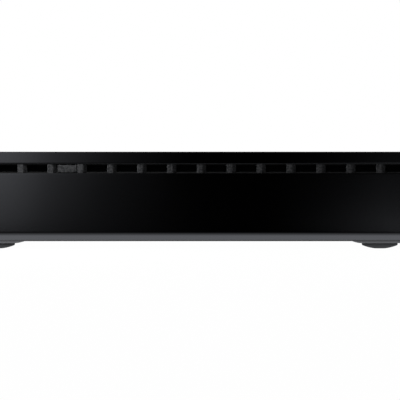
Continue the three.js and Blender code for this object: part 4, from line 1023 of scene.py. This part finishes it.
def usb_details():
    """A tongue and its contacts, two pairs on its underside, in both USB mouths."""
    out = []
    for i, z in enumerate(USB_Z, 1):
        out.append(tongue(f"usb_tongue_{i}", USB_X, z + USB_TONGUE_RISE, USB_HALF_WIDTH, USB_START, USB_END))
        outline = flat_contact(USB_CONTACT_SHIFT, z - USB_CONTACT_DROP)
        for k, pitch in enumerate(USB_PITCHES, 1):
            out.append(strips(f"usb_contacts_{i}_{k}", USB_X, pitch, 2, USB_CONTACT_WIDTH, outline))
    return out


COVER_SCREW_LENGTH = 13 * MM
BLOWER_SCREW_LENGTH = 9 * MM


def screws():
    out = []
    for i, (x, y) in enumerate(sorted(POSTS, key=lambda post: (post[1], post[0])), 1):
        out.append(screw(f"cover_screw_{i}", x, y, COVER_SCREW_LENGTH))
    for i, (x, y) in enumerate(BLOWER_SCREWS, 1):
        out.append(screw(f"blower_screw_{i}", x, y, BLOWER_SCREW_LENGTH))
    return out


pieces = [lower_shell(), lid(), power_key(), bottom_plate(), *grilles(), *feet(),
          *round_contacts(), *picture_details(), *lan_details(), *usb_details(), *screws()]
for ob in pieces:
    if not ob.data.materials:
        ob.data.materials.append(MATERIALS[ob["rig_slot"]])


# Stage, light and camera

CAMERA_X = 5.35 * MM
CAMERA_Z = 22.16 * MM
CAMERA_AWAY = 0.72
FRAME_WIDTH = 180.1 * MM
SENSOR_WIDTH = 36
NEAREST, FARTHEST = 0.01, 20


def camera():
    """Level and square to the front, framed by the width that the picture spans at the front face."""
    data = bpy.data.cameras.new("camera")
    data.sensor_width = SENSOR_WIDTH
    data.lens = SENSOR_WIDTH * CAMERA_AWAY / FRAME_WIDTH
    data.clip_start = NEAREST
    data.clip_end = FARTHEST
    ob = bpy.data.objects.new("camera", data)
    ob.location = (CAMERA_X, -REAR_Y - CAMERA_AWAY, CAMERA_Z)
    ob.rotation_euler = (QUARTER, 0, 0)
    scene.collection.objects.link(ob)
    scene.camera = ob


BACKDROP = 1.0
ROOM_LIGHT = 0.08
ROOM_MIRRORED = 0.1


def world():
    """White where the camera sees it or looks through, dim for the light and the reflections of the room."""
    w = bpy.data.worlds.new("world")
    w.use_nodes = True
    tree = w.node_tree
    back = tree.nodes["Background"]
    path = tree.nodes.new("ShaderNodeLightPath")
    seen = tree.nodes.new("ShaderNodeMath")
    seen.operation = "MAXIMUM"
    tree.links.new(path.outputs["Is Camera Ray"], seen.inputs[0])
    tree.links.new(path.outputs["Is Transmission Ray"], seen.inputs[1])
    mirrored = tree.nodes.new("ShaderNodeMapRange")
    mirrored.inputs["To Min"].default_value = ROOM_LIGHT
    mirrored.inputs["To Max"].default_value = ROOM_MIRRORED
    tree.links.new(path.outputs["Is Glossy Ray"], mirrored.inputs["Value"])
    level = tree.nodes.new("ShaderNodeMapRange")
    level.inputs["To Max"].default_value = BACKDROP
    tree.links.new(mirrored.outputs[0], level.inputs["To Min"])
    tree.links.new(seen.outputs[0], level.inputs["Value"])
    tree.links.new(level.outputs[0], back.inputs["Strength"])
    back.inputs["Color"].default_value = (1, 1, 1, 1)
    scene.world = w


class Stage:
    """A stage piece's material nodes, with brightness worked out from the place in the room."""

    def __init__(self, name):
        self.mat = bpy.data.materials.new(name)
        self.mat.use_nodes = True
        self.tree = self.mat.node_tree
        self.tree.nodes.clear()
        split = self.tree.nodes.new("ShaderNodeSeparateXYZ")
        self.link(self.tree.nodes.new("ShaderNodeNewGeometry").outputs["Position"], split.inputs[0])
        self.place = split.outputs

    def link(self, a, b):
        self.tree.links.new(a, b)

    def curve(self, axis, low, high, stops):
        """A value along one axis, straight between position and value pairs."""
        spread = self.tree.nodes.new("ShaderNodeMapRange")
        spread.inputs["From Min"].default_value = low
        spread.inputs["From Max"].default_value = high
        self.link(self.place[axis], spread.inputs["Value"])
        ramp = self.tree.nodes.new("ShaderNodeValToRGB")
        elements = ramp.color_ramp.elements
        while len(elements) < len(stops):
            elements.new(0.5)
        for e, (position, grey) in zip(elements, stops):
            e.position = position
            e.color = (grey, grey, grey, 1)
        self.link(spread.outputs[0], ramp.inputs["Fac"])
        return ramp.outputs["Color"]

    def math(self, operation, a, b):
        n = self.tree.nodes.new("ShaderNodeMath")
        n.operation = operation
        for socket, value in zip(n.inputs, (a, b)):
            if isinstance(value, float):
                socket.default_value = value
            else:
                self.link(value, socket)
        return n.outputs[0]

    def glow(self, strength, color=(1, 1, 1)):
        n = self.tree.nodes.new("ShaderNodeEmission")
        n.inputs["Color"].default_value = (*color, 1)
        if isinstance(strength, float):
            n.inputs["Strength"].default_value = strength
        else:
            self.link(strength, n.inputs["Strength"])
        return n.outputs[0]

    def mix(self, factor, a, b):
        n = self.tree.nodes.new("ShaderNodeMixShader")
        if isinstance(factor, float):
            n.inputs["Fac"].default_value = factor
        else:
            self.link(factor, n.inputs["Fac"])
        self.link(a, n.inputs[1])
        self.link(b, n.inputs[2])
        return n.outputs[0]

    def done(self, surface):
        out = self.tree.nodes.new("ShaderNodeOutputMaterial")
        self.link(surface, out.inputs["Surface"])
        return self.mat


COOL = (0.96, 0.99, 1.08)

# Position and brightness pairs along X: 0 is GLOW_SIDE to the left of the middle, 1 as far to the right
LEFT_GLOW = [(0, 1.05), (0.03, 0.91), (0.077, 0.66), (0.124, 0.33), (0.172, 0.27), (0.219, 0.17),
             (0.266, 0.075), (0.313, 0.04), (0.41, 0.02), (0.46, 0)]
BROAD_GLOW = [(0, 0.05), (0.077, 0.03), (0.124, 0.03), (0.172, 0.02), (0.219, 0.022), (0.266, 0.036),
              (0.313, 0.034), (0.39, 0.018), (0.5, 0.002), (0.55, 0)]
RIGHT_GLOW = [(0.64, 0), (0.72, 0.003), (0.822, 0.038), (0.922, 0.1), (1, 0.21)]
RIGHT_GAIN = 1.4
GLOW_SIDE = 0.2


def side_glows(stage, left_share, right_share):
    """The brightness across the room that the front mirrors: a left, a broad and a right glow."""
    glows = (LEFT_GLOW, BROAD_GLOW, RIGHT_GLOW)
    left, broad, right = (stage.curve("X", -GLOW_SIDE, GLOW_SIDE, g) for g in glows)
    left = stage.math("MULTIPLY", left, left_share)
    right = stage.math("MULTIPLY", stage.math("MULTIPLY", right, RIGHT_GAIN), right_share)
    return stage.math("ADD", stage.math("ADD", left, right), broad)


FLOOR_SIDE = 3
FLOOR_COLOR = (0.8, 0.8, 0.8, 1)

# The floor's glow runs from under the case's front edge to a hand's breadth before it
NEAR_START = -REAR_Y + 8 * MM
NEAR_END = -REAR_Y - 77 * MM
NEAR_GLOW = [(0, 0.33), (0.045, 0.54), (0.058, 1.0), (0.0965, 1.0), (0.1435, 0.62), (0.209, 0.32),
             (0.341, 0.12), (0.529, 0.03), (1.0, 0.0)]
NEAR_MIRRORED = 1.4
FLOOR_LEFT_SHARE = 0.36
FLOOR_RIGHT_SHARE = 1.85
FLOOR_WHITE = 1.01
WHITE_SHARE = 0.98
NEAR_LIT = 0.5
FLOOR_LIT = 0.12


def floor():
    """White with a faint shadow to the camera, brightest just before the case to the light and in mirrors."""
    ob = sheet("floor", [(-FLOOR_SIDE, -FLOOR_SIDE, 0), (FLOOR_SIDE, -FLOOR_SIDE, 0),
                         (FLOOR_SIDE, FLOOR_SIDE, 0), (-FLOOR_SIDE, FLOOR_SIDE, 0)])
    st = Stage("floor")
    path = st.tree.nodes.new("ShaderNodeLightPath").outputs
    bright = st.tree.nodes.new("ShaderNodeBsdfDiffuse")
    bright.inputs["Color"].default_value = FLOOR_COLOR
    near = st.curve("Y", NEAR_START, NEAR_END, NEAR_GLOW)
    sides = side_glows(st, FLOOR_LEFT_SHARE, FLOOR_RIGHT_SHARE)
    mirrored = st.glow(st.math("ADD", st.math("MULTIPLY", near, NEAR_MIRRORED), sides), COOL)
    seen = st.mix(WHITE_SHARE, bright.outputs[0], st.glow(FLOOR_WHITE))
    around = st.glow(st.math("ADD", st.math("MULTIPLY", near, NEAR_LIT), FLOOR_LIT))
    lit = st.mix(path["Is Camera Ray"], around, seen)
    ob.data.materials.append(st.done(st.mix(path["Is Glossy Ray"], lit, mirrored)))


CARD_AWAY = 0.6
CARD_Y = -REAR_Y - CARD_AWAY
CARD_SIDE = 0.9
CARD_LOW, CARD_HIGH = 0.0005, 0.9

# Height and share pairs of the side glows, up to CARD_BLEND_HEIGHT
CARD_BLEND_HEIGHT = 0.07
CARD_LEFT_SHARES = [(0, 0.4), (0.3, 0.56), (0.9, 1.0)]
CARD_RIGHT_SHARES = [(0, 0.75), (0.3, 0.36), (0.9, 0.12)]


def card():
    """A tall card before the case, seen only in reflections: pale at its sides, black in the middle."""
    ob = sheet("card", [(-CARD_SIDE, CARD_Y, CARD_LOW), (CARD_SIDE, CARD_Y, CARD_LOW),
                        (CARD_SIDE, CARD_Y, CARD_HIGH), (-CARD_SIDE, CARD_Y, CARD_HIGH)])
    st = Stage("card")
    left_share = st.curve("Z", 0, CARD_BLEND_HEIGHT, CARD_LEFT_SHARES)
    right_share = st.curve("Z", 0, CARD_BLEND_HEIGHT, CARD_RIGHT_SHARES)
    ob.data.materials.append(st.done(st.glow(side_glows(st, left_share, right_share), COOL)))
    ob.visible_camera = False
    ob.visible_diffuse = False
    ob.visible_shadow = False
    ob.visible_transmission = False
    ob.visible_volume_scatter = False


def area_light(name, location, aim, size, power):
    """A lamp that shines on the case but shows in no mirror and no picture."""
    data = bpy.data.lights.new(name, "AREA")
    data.shape = "RECTANGLE"
    data.size, data.size_y = size
    data.energy = power
    ob = bpy.data.objects.new(name, data)
    ob.location = location
    ob.rotation_euler = (Vector(aim) - Vector(location)).to_track_quat("-Z", "Y").to_euler()
    ob.visible_glossy = False
    ob.visible_camera = False
    scene.collection.objects.link(ob)


camera()
world()
floor()
card()
area_light("key_light", location=(-0.152, -0.1625, 0.141), aim=(0, -REAR_Y, 0.03), size=(0.03, 0.03),
           power=0.25)
area_light("top_light", location=(0.1, 0.1, 1.0), aim=(0, 0, 0), size=(1.0, 1.0), power=2)
area_light("rear_light", location=(0.3, 0.8, 0.45), aim=(0, REAR_Y, 0.02), size=(0.4, 0.4), power=4)
scene.view_settings.view_transform = "Standard"
